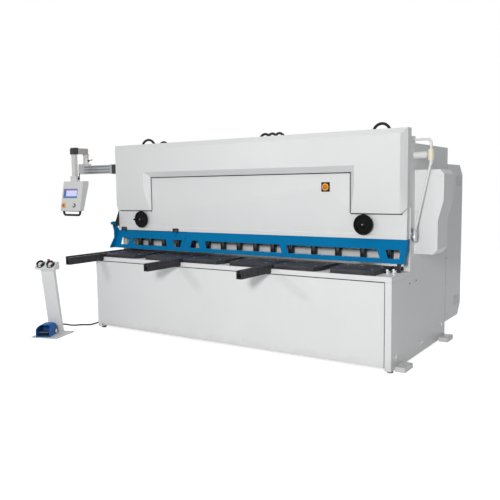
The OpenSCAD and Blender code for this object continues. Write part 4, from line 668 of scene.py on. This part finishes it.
def as_object(name, bm, material, crease):
    """Turns a bmesh into a smooth object with a finish and sharp creases."""
    mesh = bpy.data.meshes.new(name)
    bm.to_mesh(mesh)
    bm.free()
    for face in mesh.polygons:
        face.use_smooth = True
    mesh.set_sharp_from_angle(angle=crease)
    piece = bpy.data.objects.new(name, mesh)
    scene.collection.objects.link(piece)
    dress(piece, material)
    return piece


def soften(name, width):
    bm = bmesh.new()
    bm.from_mesh(frame["nodes"][name].data)
    bmesh.ops.remove_doubles(bm, verts=bm.verts[:], dist=1e-5)
    bmesh.ops.dissolve_limit(bm, angle_limit=FLAT, verts=bm.verts[:], edges=bm.edges[:])
    if name == "front_cover":
        fold_cover(bm)
    if name == "pendant_arm":
        round_arm(bm)
    piece = as_object(name + "_dressed", bm, frame["nodes"][name].data.materials[0], FOLD)
    rounding = piece.modifiers.new("folds", "BEVEL")
    rounding.width = width
    rounding.segments = 2
    rounding.limit_method = "ANGLE"
    rounding.angle_limit = FOLD
    rounding.harden_normals = True
    rounding.use_clamp_overlap = True
    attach(piece, BODY_OF[name])
    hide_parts(name)


for name, width in EDGE_ROUND.items():
    soften(name, width)
print("softened:", len(EDGE_ROUND))

# %% [markdown]
# ## Tools for small fittings
# Bolts, caps, rings and plates come in a few kinds. Each helper adds one to a bmesh, in its place, so that
# all the bolts of one body share one mesh. Turned parts are spun from a half profile, as on a lathe, and
# moulded plates start as a cube whose edges are bevelled.

# %% Shape helpers
CREASE = math.radians(35.0)
BOLT_ROUND = 0.06
RING_ROUND = 0.3


def along(at, axis):
    """Matrix that stands a shape built along Z at a place, along an axis."""
    return Matrix.Translation(at) @ Vector(axis).to_track_quat("Z", "Y").to_matrix().to_4x4()


def add_turned(bm, profile, place, steps=32):
    """Spins a profile of (radius, height) pairs about Z and puts it in place."""
    before = set(bm.verts)
    verts = [bm.verts.new((radius, 0.0, height)) for radius, height in profile]
    edges = [bm.edges.new(pair) for pair in zip(verts, verts[1:])]
    bmesh.ops.spin(bm, geom=verts + edges, cent=(0.0, 0.0, 0.0), axis=Z, angle=math.tau,
                   steps=steps, use_merge=True)
    bmesh.ops.remove_doubles(bm, verts=[v for v in bm.verts if v not in before], dist=1e-6)
    made = [v for v in bm.verts if v not in before]
    bmesh.ops.transform(bm, matrix=place, verts=made)
    bmesh.ops.recalc_face_normals(bm, faces=list({face for v in made for face in v.link_faces}))


def edges_of(verts):
    return list({edge for vert in verts for edge in vert.link_edges})


def verts_in(geom):
    return [part for part in geom if isinstance(part, bmesh.types.BMVert)]


def edges_in(geom):
    return [part for part in geom if isinstance(part, bmesh.types.BMEdge)]


def add_box(bm, low, high, radius, place=Matrix()):
    """Block between two corners with rounded edges."""
    low, high = Vector(low), Vector(high)
    shape = place @ Matrix.LocRotScale((low + high) / 2, None, high - low)
    made = bmesh.ops.create_cube(bm, size=1.0, matrix=shape)
    round_edges(bm, edges_of(made["verts"]), radius, clamp=True)


def add_sheet(bm, place, size):
    """One flat face of a width and height in the plane of a place."""
    scaled = place @ Matrix.Diagonal((size[0], size[1], 1.0, 1.0))
    return bmesh.ops.create_grid(bm, x_segments=1, y_segments=1, size=0.5, matrix=scaled)["verts"]


def thicken(bm, thickness):
    bmesh.ops.recalc_face_normals(bm, faces=bm.faces[:])
    bmesh.ops.solidify(bm, geom=bm.faces[:], thickness=thickness)


def add_frame(bm, place, size, rim, thickness, soft):
    """Flat frame in the plane of a place: a sheet whose inset middle is cut out, then thickened."""
    inner = list({face for vert in add_sheet(bm, place, size) for face in vert.link_faces})
    bmesh.ops.inset_individual(bm, faces=inner, thickness=rim)
    bmesh.ops.delete(bm, geom=inner, context="FACES")
    thicken(bm, thickness)
    round_edges(bm, bm.edges[:], soft)


def add_bolt(bm, place, flats, height):
    """Hexagon head with rounded corners."""
    across = flats / math.sqrt(3.0)
    lifted = place @ Matrix.Translation((0.0, 0.0, height / 2))
    head = bmesh.ops.create_cone(bm, cap_ends=True, segments=6, radius1=across, radius2=across,
                                 depth=height, matrix=lifted)
    round_edges(bm, edges_of(head["verts"]), flats * BOLT_ROUND)


def add_socket_screw(bm, place, diameter, height):
    """Button head with a round socket."""
    r, h = diameter / 2, height
    head = [(0.0, 0.4 * h), (0.45 * r, 0.4 * h), (0.45 * r, h), (0.75 * r, h), (r, 0.5 * h), (r, 0.0)]
    add_turned(bm, head, place, 16)


def add_ring(bm, place, inner, outer, height):
    """Flat ring with a rounded outer edge."""
    soft = min(height, outer - inner) * RING_ROUND
    add_turned(bm, [(inner, 0.0), (inner, height), (outer - soft, height), (outer, height - soft),
                    (outer, 0.0), (inner, 0.0)], place)


def add_piece(name, bm, slot, body="machine", finish=None):
    """Makes a piece that rides on a body, with its slot's finish or another one."""
    piece = as_object(name, bm, finish or FINISH[slot], CREASE)
    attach(piece, body)
    print(name, "faces:", len(piece.data.polygons))
    return piece


def middle(name):
    low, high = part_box(name)
    return (Vector(low) + Vector(high)) / 2


# %% [markdown]
# ## Front of the machine
# The emergency stop on the recessed panel sits on a yellow disc over a black base. The handwheels carry a
# black cap with one screw over their shaft's end.

# %% Emergency stop station
FRONT_PANEL_Y = -0.445
STATION_GAP = 0.0005
STATION_W, STATION_RIM, STATION_T = 0.092, 0.0285, 0.0055
DISC_R, DISC_T = 0.035, 0.0045
STEM_HOLE_R = 0.0172
yellow_plastic = painted("yellow_plastic", YELLOW, gloss=0.3, mottle=0.05)


def build_stop_station():
    at = middle("front_estop")
    at.y = FRONT_PANEL_Y
    base = bmesh.new()
    seat = along(at + STATION_GAP * Vector(FRONT), FRONT)
    add_frame(base, seat, (STATION_W, STATION_W), STATION_RIM, STATION_T, 0.0015)
    add_piece("stop_station_base", base, "black_plastic")
    disc = bmesh.new()
    add_ring(disc, along(at + STATION_T * Vector(FRONT), FRONT), STEM_HOLE_R, DISC_R, DISC_T)
    add_piece("stop_station_disc", disc, "orange_plastic", finish=yellow_plastic)


build_stop_station()

# %% Handwheel caps
WHEEL_FACE_Y = -0.498
WHEEL_CAP = [(0.0, 0.010), (0.012, 0.009), (0.019, 0.005), (0.021, 0.0)]
CAP_SCREW_LIFT = 0.0095
CAP_SCREW_D, CAP_SCREW_H = 0.010, 0.004


def build_wheel_cap(name):
    at = middle(name)
    at.y = WHEEL_FACE_Y
    bm = bmesh.new()
    add_turned(bm, WHEEL_CAP, along(at, FRONT))
    add_piece(name + "_cap", bm, "black_plastic", name)
    screw = bmesh.new()
    seat = along(at + CAP_SCREW_LIFT * Vector(FRONT), FRONT)
    add_socket_screw(screw, seat, CAP_SCREW_D, CAP_SCREW_H)
    add_piece(name + "_screw", screw, "machined_steel", name)


for wheel in ("handwheel_left", "handwheel_right"):
    build_wheel_cap(wheel)

# %% [markdown]
# ## Painted shade in the gaps, and the strip behind the hold-downs
# Dark strips with a rubber finish lie in the gaps at the cover, the front panel and the rear guards, and
# behind the guards' louvres. They are painted shade and show as thin black lines. A bent white strip runs
# behind the hold-downs, so the guard's windows look bright between the black cylinders. The front panel's
# edges are folded over.

# %% Dark strips of painted shade
# Each dark strip's low corner, high corner and rounding; those at the sides are given for the right side
SHADE_STRIPS = {
    "above the recess": ((-1.250, -0.4555, 1.742), (1.250, -0.4455, 1.7515), 0.002),
    "under the table": ((-1.738, -0.8150, 0.791), (1.738, -0.8050, 0.801), 0.002),
    "recess, right": ((1.241, -0.4555, COVER_FOOT), (1.250, -0.4455, 1.750), 0.001),
    "recess, left": ((-1.250, -0.4480, COVER_FOOT), (-1.245, -0.4455, 1.750), 0.001),
    "front panel, right": ((1.7340, -0.8256, 0.047), (1.7400, -0.8230, 0.792), 0.001),
}
SIDE_SHADE_STRIPS = {
    "under the cover's drop": ((1.250, -0.4555, 1.360), (1.750, -0.4455, 1.371)),
    "frame to guard": ((1.7960, 0.7235, 0.172), (1.8006, 0.7270, 1.832)),
    "lower louvres": ((1.7880, 1.045, 0.284), (1.7955, 1.240, 0.406)),
    "upper louvres": ((1.7880, 1.045, 1.598), (1.7955, 1.240, 1.720)),
}
SHADE_STRIP_ROUND = 0.001


# Black strips in the gaps and behind the louvres are painted shade.
def build_shade_strips():
    bm = bmesh.new()
    for low, high, radius in SHADE_STRIPS.values():
        add_box(bm, low, high, radius)
    for side in (-1, 1):
        for low, high in SIDE_SHADE_STRIPS.values():
            xs = sorted((side * low[0], side * high[0]))
            add_box(bm, (xs[0],) + low[1:], (xs[1],) + high[1:], SHADE_STRIP_ROUND)
    add_piece("painted_shade_strips", bm, "hose_rubber")


STRIP_MID = Vector((0.0, -0.2640, 1.000))
STRIP_SIZE = (3.46, 0.116)
STRIP_LIP = (0.0, 0.014, -0.006)
STRIP_T = 0.002


def build_back_strip():
    """Upright sheet whose lower edge is folded back into a lip."""
    bm = bmesh.new()
    add_sheet(bm, Matrix.Translation(STRIP_MID) @ turned(90.0, "X"), STRIP_SIZE)
    foot = [e for e in bm.edges if all(v.co.z < STRIP_MID.z for v in e.verts)]
    lip = bmesh.ops.extrude_edge_only(bm, edges=foot)["geom"]
    bmesh.ops.translate(bm, verts=verts_in(lip), vec=STRIP_LIP)
    thicken(bm, STRIP_T)
    add_piece("holddown_back_strip", bm, "white_paint")


HEM_Y = (-0.8264, -0.8240)
HEM_Z = 0.0455
HEM_ROUND = 0.0011


def build_panel_hem():
    """Low band along the front panel's foot and left edge, where the sheet is folded over."""
    bm = bmesh.new()
    for x0, x1, top in ((-1.733, 1.733, 0.066), (-1.739, -1.722, 0.790)):
        add_box(bm, (x0, HEM_Y[0], HEM_Z), (x1, HEM_Y[1], top), HEM_ROUND)
    add_piece("front_panel_hem", bm, "white_paint")


build_shade_strips()
build_back_strip()
build_panel_hem()

# %% [markdown]
# ## Screws and scale
# The hinges and table plates are screwed on. The squaring arm has a steel strip with plain marks every ten
# millimetres.

# %% Hinge and table screws
HINGE_XS = (-1.697, -0.895)
HINGE_Y, HINGE_Z = -0.461, 1.134
HINGE_SLEEVE_L = 0.036
LEAF_SCREW_DX, LEAF_SCREW_Y, LEAF_SCREW_Z = 0.028, -0.457, 1.159
PLATE_ENDS = ((-1.660, -1.165), (-1.085, -0.590), (-0.510, -0.030), (0.050, 0.530), (0.610, 1.085),
              (1.165, 1.640))
PLATE_TOP = 0.885
PLATE_SCREW_IN = 0.07
PLATE_SCREW_YS = (-0.70, -0.47)


def build_front_screws():
    hinge = bmesh.new()
    sleeves = bmesh.new()
    for x in HINGE_XS:
        for dx in (-LEAF_SCREW_DX, LEAF_SCREW_DX):
            add_socket_screw(hinge, along((x + dx, LEAF_SCREW_Y, LEAF_SCREW_Z), FRONT), 0.013, 0.005)
        end = along((x - HINGE_SLEEVE_L / 2, HINGE_Y, HINGE_Z), X)
        add_ring(sleeves, end, 0.0062, 0.0094, HINGE_SLEEVE_L)
    add_piece("hinge_sleeves", sleeves, "black_steel", BODY_OF["guard_flap"])
    add_piece("hinge_screws", hinge, "black_steel")
    plates = bmesh.new()
    for x0, x1 in PLATE_ENDS:
        for x in (x0 + PLATE_SCREW_IN, x1 - PLATE_SCREW_IN):
            for y in PLATE_SCREW_YS:
                add_ring(plates, along((x, y, PLATE_TOP), Z), 0.005, 0.010, 0.0012)
    add_piece("table_plate_screws", plates, "machined_steel")


build_front_screws()

# %% Scale on the squaring arm
TICKS_PER_M = 100.0
TICK_SHARE = 0.14
SCALE_XS, SCALE_YS = (-1.689, -1.675), (-1.320, -0.410)
SCALE_SINK, SCALE_RISE = 0.0005, 0.001


def tick_mask(tree):
    """Thin marks at even steps along Y."""
    y = node(tree, "SeparateXYZ", {0: node(tree, "TexCoord").outputs["Object"]}).outputs["Y"]
    steps = node(tree, "Math", {0: y}, operation="MULTIPLY")
    steps.inputs[1].default_value = TICKS_PER_M
    part = node(tree, "Math", {0: steps.outputs[0]}, operation="FRACT")
    mark = node(tree, "Math", {0: part.outputs[0]}, operation="LESS_THAN")
    mark.inputs[1].default_value = TICK_SHARE
    return mark.outputs[0]


def build_scale():
    finish = metal("scale_steel", (0.62, 0.62, 0.6, 1.0), (40.0, 1.0, 40.0), marks=[(tick_mask, COAL)])
    bm = bmesh.new()
    add_box(bm, (SCALE_XS[0], SCALE_YS[0], PLATE_TOP - SCALE_SINK),
            (SCALE_XS[1], SCALE_YS[1], PLATE_TOP + SCALE_RISE), 0.0004)
    add_piece("squaring_scale", bm, "machined_steel", finish=finish)


build_scale()

# %% [markdown]
# ## Ball rollers
# At the right end of the table two ball rollers carry the sheet's edge. Each is a turned steel cup with a
# polished ball that stands just below the plates' top face.

# %% Ball rollers
ROLLERS_AT = ((1.672, -0.60), (1.716, -0.56))
TABLE_TOP = 0.845
BALL_R, BALL_Z = 0.015, 0.024
BALL_STEP, BALL_STEPS = 0.3, 6
CUP = [(0.017, 0.023), (0.021, 0.021), (0.021, 0.005), (0.026, 0.004), (0.026, 0.0)]


def build_rollers():
    bm = bmesh.new()
    angles = [BALL_STEP * i for i in range(BALL_STEPS)]
    ball = [(BALL_R * math.sin(a), BALL_Z + BALL_R * math.cos(a)) for a in angles]
    for x, y in ROLLERS_AT:
        add_turned(bm, ball + CUP, along((x, y, TABLE_TOP), Z))
    add_piece("ball_rollers", bm, "chromed_steel")


build_rollers()

# %% [markdown]
# ## Control pendant
# The screen lies in a slim frame. The stop button has a yellow disc below it, and the other button a black
# ring, all placed in the slanted face's own axes. Dark strips in the rail's grooves are painted shade, a
# turned sleeve carries the swinging arm, and the handle is bent from a round bar.

# %% Pendant fittings
PENDANT_FACE = Matrix.Translation((-2.480, -0.5275, 1.724)) @ turned(-11.0, "X")
SCREEN_MID = (-0.030, -0.0005, -0.153)
SCREEN_SIZE = (0.249, 0.116)
SCREEN_RIM, SCREEN_RIM_T = 0.008, 0.004
STOP_X, BUTTON_X, BUTTON_Z = -0.125, 0.062, -0.305


def build_screen_frame():
    bm = bmesh.new()
    upright = Matrix.Translation(SCREEN_MID) @ turned(90.0, "X")
    add_frame(bm, upright, SCREEN_SIZE, SCREEN_RIM, SCREEN_RIM_T, 0.001)
    bmesh.ops.transform(bm, matrix=PENDANT_FACE, verts=bm.verts[:])
    add_piece("screen_frame", bm, "black_plastic", "pendant_head")


def build_button_rings():
    stop = bmesh.new()
    add_ring(stop, PENDANT_FACE @ along((STOP_X, 0.0, BUTTON_Z), FRONT), STEM_HOLE_R, 0.034, 0.004)
    add_piece("pendant_stop_disc", stop, "orange_plastic", "pendant_head", yellow_plastic)
    ring = bmesh.new()
    add_ring(ring, PENDANT_FACE @ along((BUTTON_X, 0.0, BUTTON_Z), FRONT), STEM_HOLE_R, 0.026, 0.007)
    add_piece("pendant_button_ring", ring, "black_plastic", "pendant_head")


build_screen_frame()
build_button_rings()

# %% Pendant arm and handle
RAIL_GROOVES = (1.8325, 1.8675, 1.9025)
GROOVE_XS, GROOVE_YS, GROOVE_HALF = (-2.499, -2.031), (-0.3225, -0.3175), 0.0058
ARM_PIVOT = (-2.505, -0.285, 2.0215)
ARM_SLEEVE = [(0.022, 0.0), (0.030, 0.0), (0.032, 0.006), (0.040, 0.038), (0.040, 0.0432),
              (0.022, 0.0432), (0.022, 0.0)]


def build_arm_fittings():
    covers = bmesh.new()
    # Dark grey strips in the three grooves are painted shade of the grooves.
    for z in RAIL_GROOVES:
        add_box(covers, (GROOVE_XS[0], GROOVE_YS[0], z - GROOVE_HALF),
                (GROOVE_XS[1], GROOVE_YS[1], z + GROOVE_HALF), 0.001)
    add_piece("rail_groove_painted_shade", covers, "cast_housing", BODY_OF["pendant_rail"])
    sleeve = bmesh.new()
    add_turned(sleeve, ARM_SLEEVE, along(ARM_PIVOT, Z), 40)
    # The sleeve takes the arm's finish, so its top, above CORNER_Z, also gets the arm's painted shade.
    add_piece("arm_sleeve", sleeve, "white_paint", BODY_OF["pendant_arm"], SPECIAL["pendant_arm"])


HANDLE_AT = Matrix.Translation((-2.480, -0.5688, 1.305))
HANDLE_R = 0.0138
HANDLE_HALF = 0.149
HANDLE_TOP = 0.0515
BEND_R = 0.036
BEND_STEPS = 7
FOOT_BAR_HALF, FOOT_BAR_ZS = 0.1638, (0.0442, 0.0518)


def build_handle():
    """Bar bent from one round: each straight is an extrusion, each bend a spin of the last ring."""
    bm = bmesh.new()
    ring = bmesh.ops.create_circle(bm, cap_ends=True, segments=20, radius=HANDLE_R,
                                   matrix=Matrix.Translation((-HANDLE_HALF, 0.0, HANDLE_TOP)))
    bend_x = HANDLE_HALF - BEND_R

    def straight(edges, way):
        made = bmesh.ops.extrude_edge_only(bm, edges=edges)["geom"]
        tips = verts_in(made)
        bmesh.ops.translate(bm, verts=tips, vec=way)
        return [edge for edge in edges_in(made) if set(edge.verts) <= set(tips)]

    def bend(edges, x):
        made = bmesh.ops.spin(bm, geom=edges, cent=(x, 0.0, BEND_R), axis=Y, angle=math.radians(-90.0),
                              steps=BEND_STEPS)
        return edges_in(made["geom_last"])

    tip = straight(edges_of(ring["verts"]), (0.0, 0.0, BEND_R - HANDLE_TOP))
    tip = bend(tip, -bend_x)
    tip = straight(tip, (2 * bend_x, 0.0, 0.0))
    tip = bend(tip, bend_x)
    tip = straight(tip, (0.0, 0.0, HANDLE_TOP - BEND_R))
    bmesh.ops.holes_fill(bm, edges=tip)
    bmesh.ops.recalc_face_normals(bm, faces=bm.faces[:])
    low, high = FOOT_BAR_ZS
    add_box(bm, (-FOOT_BAR_HALF, -HANDLE_R, low), (FOOT_BAR_HALF, HANDLE_R, high), 0.002)
    bmesh.ops.transform(bm, matrix=HANDLE_AT, verts=bm.verts[:])
    bar = add_piece("handle_bar", bm, SLOT_OF["pendant_handle"], BODY_OF["pendant_handle"],
                    FINISH["black_plastic"])
    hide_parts("pendant_handle")


build_arm_fittings()
build_handle()

# %% [markdown]
# ## Pedestal
# The base plate is bolted down, the pedal has ribs so that a boot doesn't slip, and a round cap covers the
# pedal's pin on the hood. The pedestal stands turned to the machine, so its fittings are built in its axes.

# %% Pedestal fittings
BASE_T = 0.010
HOOD = PEDESTAL @ Matrix.Translation((-0.040, -0.066, BASE_T)) @ turned(12.0, "Z")
PEDAL_PIN = HOOD @ Matrix.Translation((0.0, 0.060, 0.028)) @ turned(-8.0, "X")
BASE_BOLT_X, BASE_BOLT_Y = 0.142, 0.160
WASHER_T = 0.002
RIBS, RIB_START, RIB_PITCH, RIB_W = 6, -0.115, 0.018, 0.007
RIB_HALF, RIB_ZS = 0.048, (0.0045, 0.0075)
HOOD_CAP = [(0.0, 0.006), (0.012, 0.0055), (0.020, 0.003), (0.023, -0.002)]


def build_pedestal_fittings():
    bolts = bmesh.new()
    for x in (-BASE_BOLT_X, BASE_BOLT_X):
        for y in (-BASE_BOLT_Y, BASE_BOLT_Y):
            add_ring(bolts, PEDESTAL @ along((x, y, BASE_T), Z), 0.004, 0.015, WASHER_T)
            add_bolt(bolts, PEDESTAL @ along((x, y, BASE_T + WASHER_T), Z), 0.019, 0.009)
    add_piece("base_plate_bolts", bolts, "machined_steel")
    ribs = bmesh.new()
    for i in range(RIBS):
        y = RIB_START + RIB_PITCH * i
        add_box(ribs, (-RIB_HALF, y, RIB_ZS[0]), (RIB_HALF, y + RIB_W, RIB_ZS[1]), 0.001, PEDAL_PIN)
    add_piece("pedal_ribs", ribs, "black_plastic", "foot_pedal", FINISH["hose_rubber"])
    cap = bmesh.new()
    add_turned(cap, HOOD_CAP, HOOD @ along((0.090, 0.060, 0.036), X))
    add_piece("hood_cap", cap, "white_plastic")


build_pedestal_fittings()

# %% Palm buttons
PALM_CAP = [(0.0, 0.002), (0.014, 0.0016), (0.019, 0.0006), (0.0195, -0.001)]
PALM_RIM_RS, PALM_RIM_H = (0.040, 0.0475), 0.005


def build_palm_buttons():
    to_front = CONSOLE_FRONT.inverted()
    rims = bmesh.new()
    for name in ("console_button_left", "console_button_right"):
        x, y = (to_front @ middle(name)).xy
        top = max((to_front @ v.co).z for v in frame["nodes"][name].data.vertices)
        cap = bmesh.new()
        add_turned(cap, PALM_CAP, CONSOLE_FRONT @ Matrix.Translation((x, y, top)))
        add_piece(name + "_cap", cap, "white_plastic", BODY_OF[name])
        add_ring(rims, CONSOLE_FRONT @ Matrix.Translation((x, y, 0.0)), *PALM_RIM_RS, PALM_RIM_H)
    add_piece("palm_ring_rims", rims, "black_plastic")


build_palm_buttons()

# %% [markdown]
# ## Sides and rear
# Washers lie under the side frames' bolts, black buttons in two holes of each frame paint the holes' shade,
# and the guards and the housing are screwed on. A turned fitting holds the pipe's foot, and crimped sleeves
# close the hoses' ends. On the tank are a filler cap with a grip and a sight glass, and on the motor a
# terminal box.

# %% Side fasteners
SIDE_X = 1.800
SIDE_BOLTS = ((-0.738, 0.135), (-0.052, 0.121), (0.560, 0.175))
SIDE_HOLES = ((-0.381, 0.733), (-0.208, 0.7395))
GUARD_SCREW_Y, GUARD_SCREW_ZS = 0.747, (0.25, 0.55, 0.85, 1.15, 1.45, 1.75)
HOUSING_FRONT_Y = -0.275
HOUSING_SCREWS = ((1.822, 1.020), (1.985, 1.020), (1.822, 1.735), (2.030, 1.700), (1.822, 1.380))


def build_side_fasteners():
    washers = bmesh.new()
    screws = bmesh.new()
    hole_shade = bmesh.new()
    for side in (-1, 1):
        x, out = side * SIDE_X, (side, 0, 0)
        for y, z in SIDE_BOLTS:
            add_ring(washers, along((x, y, z), out), 0.010, 0.028, 0.003)
        for z in GUARD_SCREW_ZS:
            add_socket_screw(screws, along((x, GUARD_SCREW_Y, z), out), 0.018, 0.007)
        # Black buttons in the frame's two holes are painted shade of the holes.
        for y, z in SIDE_HOLES:
            add_socket_screw(hole_shade, along((x, y, z), out), 0.014, 0.004)
    for x, z in HOUSING_SCREWS:
        add_socket_screw(screws, along((x, HOUSING_FRONT_Y, z), FRONT), 0.016, 0.006)
    add_piece("flank_hole_shade", hole_shade, "black_plastic")
    add_piece("side_bolt_washers", washers, "machined_steel")
    add_piece("guard_and_housing_screws", screws, "white_paint")


build_side_fasteners()

# %% Pipe fitting at the side frame
PIPE_FOOT = (1.828, -0.345, 1.195)
FITTING = [(0.0, 0.0), (0.016, 0.0), (0.022, 0.005), (0.026, 0.030), (0.026, 0.092), (0.020, 0.098),
           (0.012, 0.098)]
FITTING_DROP, NUT_RISE, PORT_DROP = 0.078, 0.018, 0.040
PORT_OUT = 0.022
NUT_GAP = 0.0005


def build_pipe_fitting():
    bm = bmesh.new()
    x, y, z = PIPE_FOOT
    add_turned(bm, FITTING, along((x, y, z - FITTING_DROP), Z), 24)
    add_bolt(bm, along((x, y, z + NUT_RISE), Z), 0.048, 0.020)
    add_bolt(bm, along((SIDE_X + NUT_GAP, y, z - PORT_DROP), X), 0.044, 0.016)
    add_bolt(bm, along((x, y - PORT_OUT, z - PORT_DROP), FRONT), 0.034, 0.014)
    dull = metal("dull_chrome", (0.46, 0.47, 0.49, 1.0), UPRIGHT, gloss=0.22)
    add_piece("pipe_foot_fitting", bm, "chromed_steel", finish=dull)


build_pipe_fitting()

# %% Hose sleeves
HOSE_R = 0.014
CYLINDER_Y, TANK_PORT_Y = -0.1025, 0.2205
CYLINDER_PORTS = ((-1.485, 2.074), (-1.415, 2.074), (1.495, 2.076), (-1.700, 2.006), (-1.280, 2.006),
                  (1.325, 2.006))
RETURN_XS, RETURN_Z, TANK_PORT_Z = (0.0, 0.09, 0.18), 2.006, 1.975
SLEEVE = [(HOSE_R, 0.0), (0.020, 0.0), (0.020, 0.006), (0.018, 0.008), (0.018, 0.013), (0.020, 0.015),
          (0.020, 0.026), (0.016, 0.030), (HOSE_R, 0.030)]


def build_hose_sleeves():
    bm = bmesh.new()
    ends = [(x, CYLINDER_Y, z) for x, z in CYLINDER_PORTS]
    for x in RETURN_XS:
        ends += [(x, CYLINDER_Y, RETURN_Z), (x, TANK_PORT_Y, TANK_PORT_Z)]
    for end in ends:
        add_turned(bm, SLEEVE, along(end, Z), 24)
    add_piece("hose_sleeves", bm, "machined_steel")


build_hose_sleeves()

# %% Tank and motor fittings
TANK_X = -0.900
FILLER_AT, FILLER_GRIP = (TANK_X, 0.370, 1.948), ((-0.930, 0.364, 1.968), (-0.870, 0.376, 1.984))
FILLER_CAP = [(0.0, 0.024), (0.030, 0.024), (0.044, 0.018), (0.046, 0.004), (0.042, 0.0)]
GLASS_AT, GLASS_R, GLASS_L = (TANK_X, 0.585, 1.608), 0.010, 0.130
GLASS_NUT_Y, GLASS_NUT_ZS = 0.580, (1.605, 1.742)
TERMINAL_BOX = ((-0.430, 0.315, 2.085), (-0.310, 0.425, 2.150))
TERMINAL_LID = ((-0.436, 0.309, 2.142), (-0.304, 0.431, 2.152))


def build_tank_fittings():
    cap = bmesh.new()
    add_turned(cap, FILLER_CAP, along(FILLER_AT, Z), 40)
    add_box(cap, *FILLER_GRIP, 0.003)
    add_piece("filler_cap", cap, "black_plastic")
    glass = bmesh.new()
    tube = [(0.0, 0.0), (GLASS_R, 0.0), (GLASS_R, GLASS_L), (0.0, GLASS_L)]
    add_turned(glass, tube, along(GLASS_AT, Z), 20)
    amber = painted("oil_glass", (0.30, 0.14, 0.01, 1.0), gloss=0.1, mottle=0.2, peel=0.0)
    add_piece("sight_glass", glass, "screen_glass", finish=amber)
    nuts = bmesh.new()
    for z in GLASS_NUT_ZS:
        add_bolt(nuts, along((TANK_X, GLASS_NUT_Y, z), Y), 0.024, 0.014)
    add_piece("sight_glass_nuts", nuts, "chromed_steel")
    terminal = bmesh.new()
    add_box(terminal, *TERMINAL_BOX, 0.006)
    add_box(terminal, *TERMINAL_LID, 0.004)
    add_piece("motor_terminal_box", terminal, "grey_paint")


build_tank_fittings()
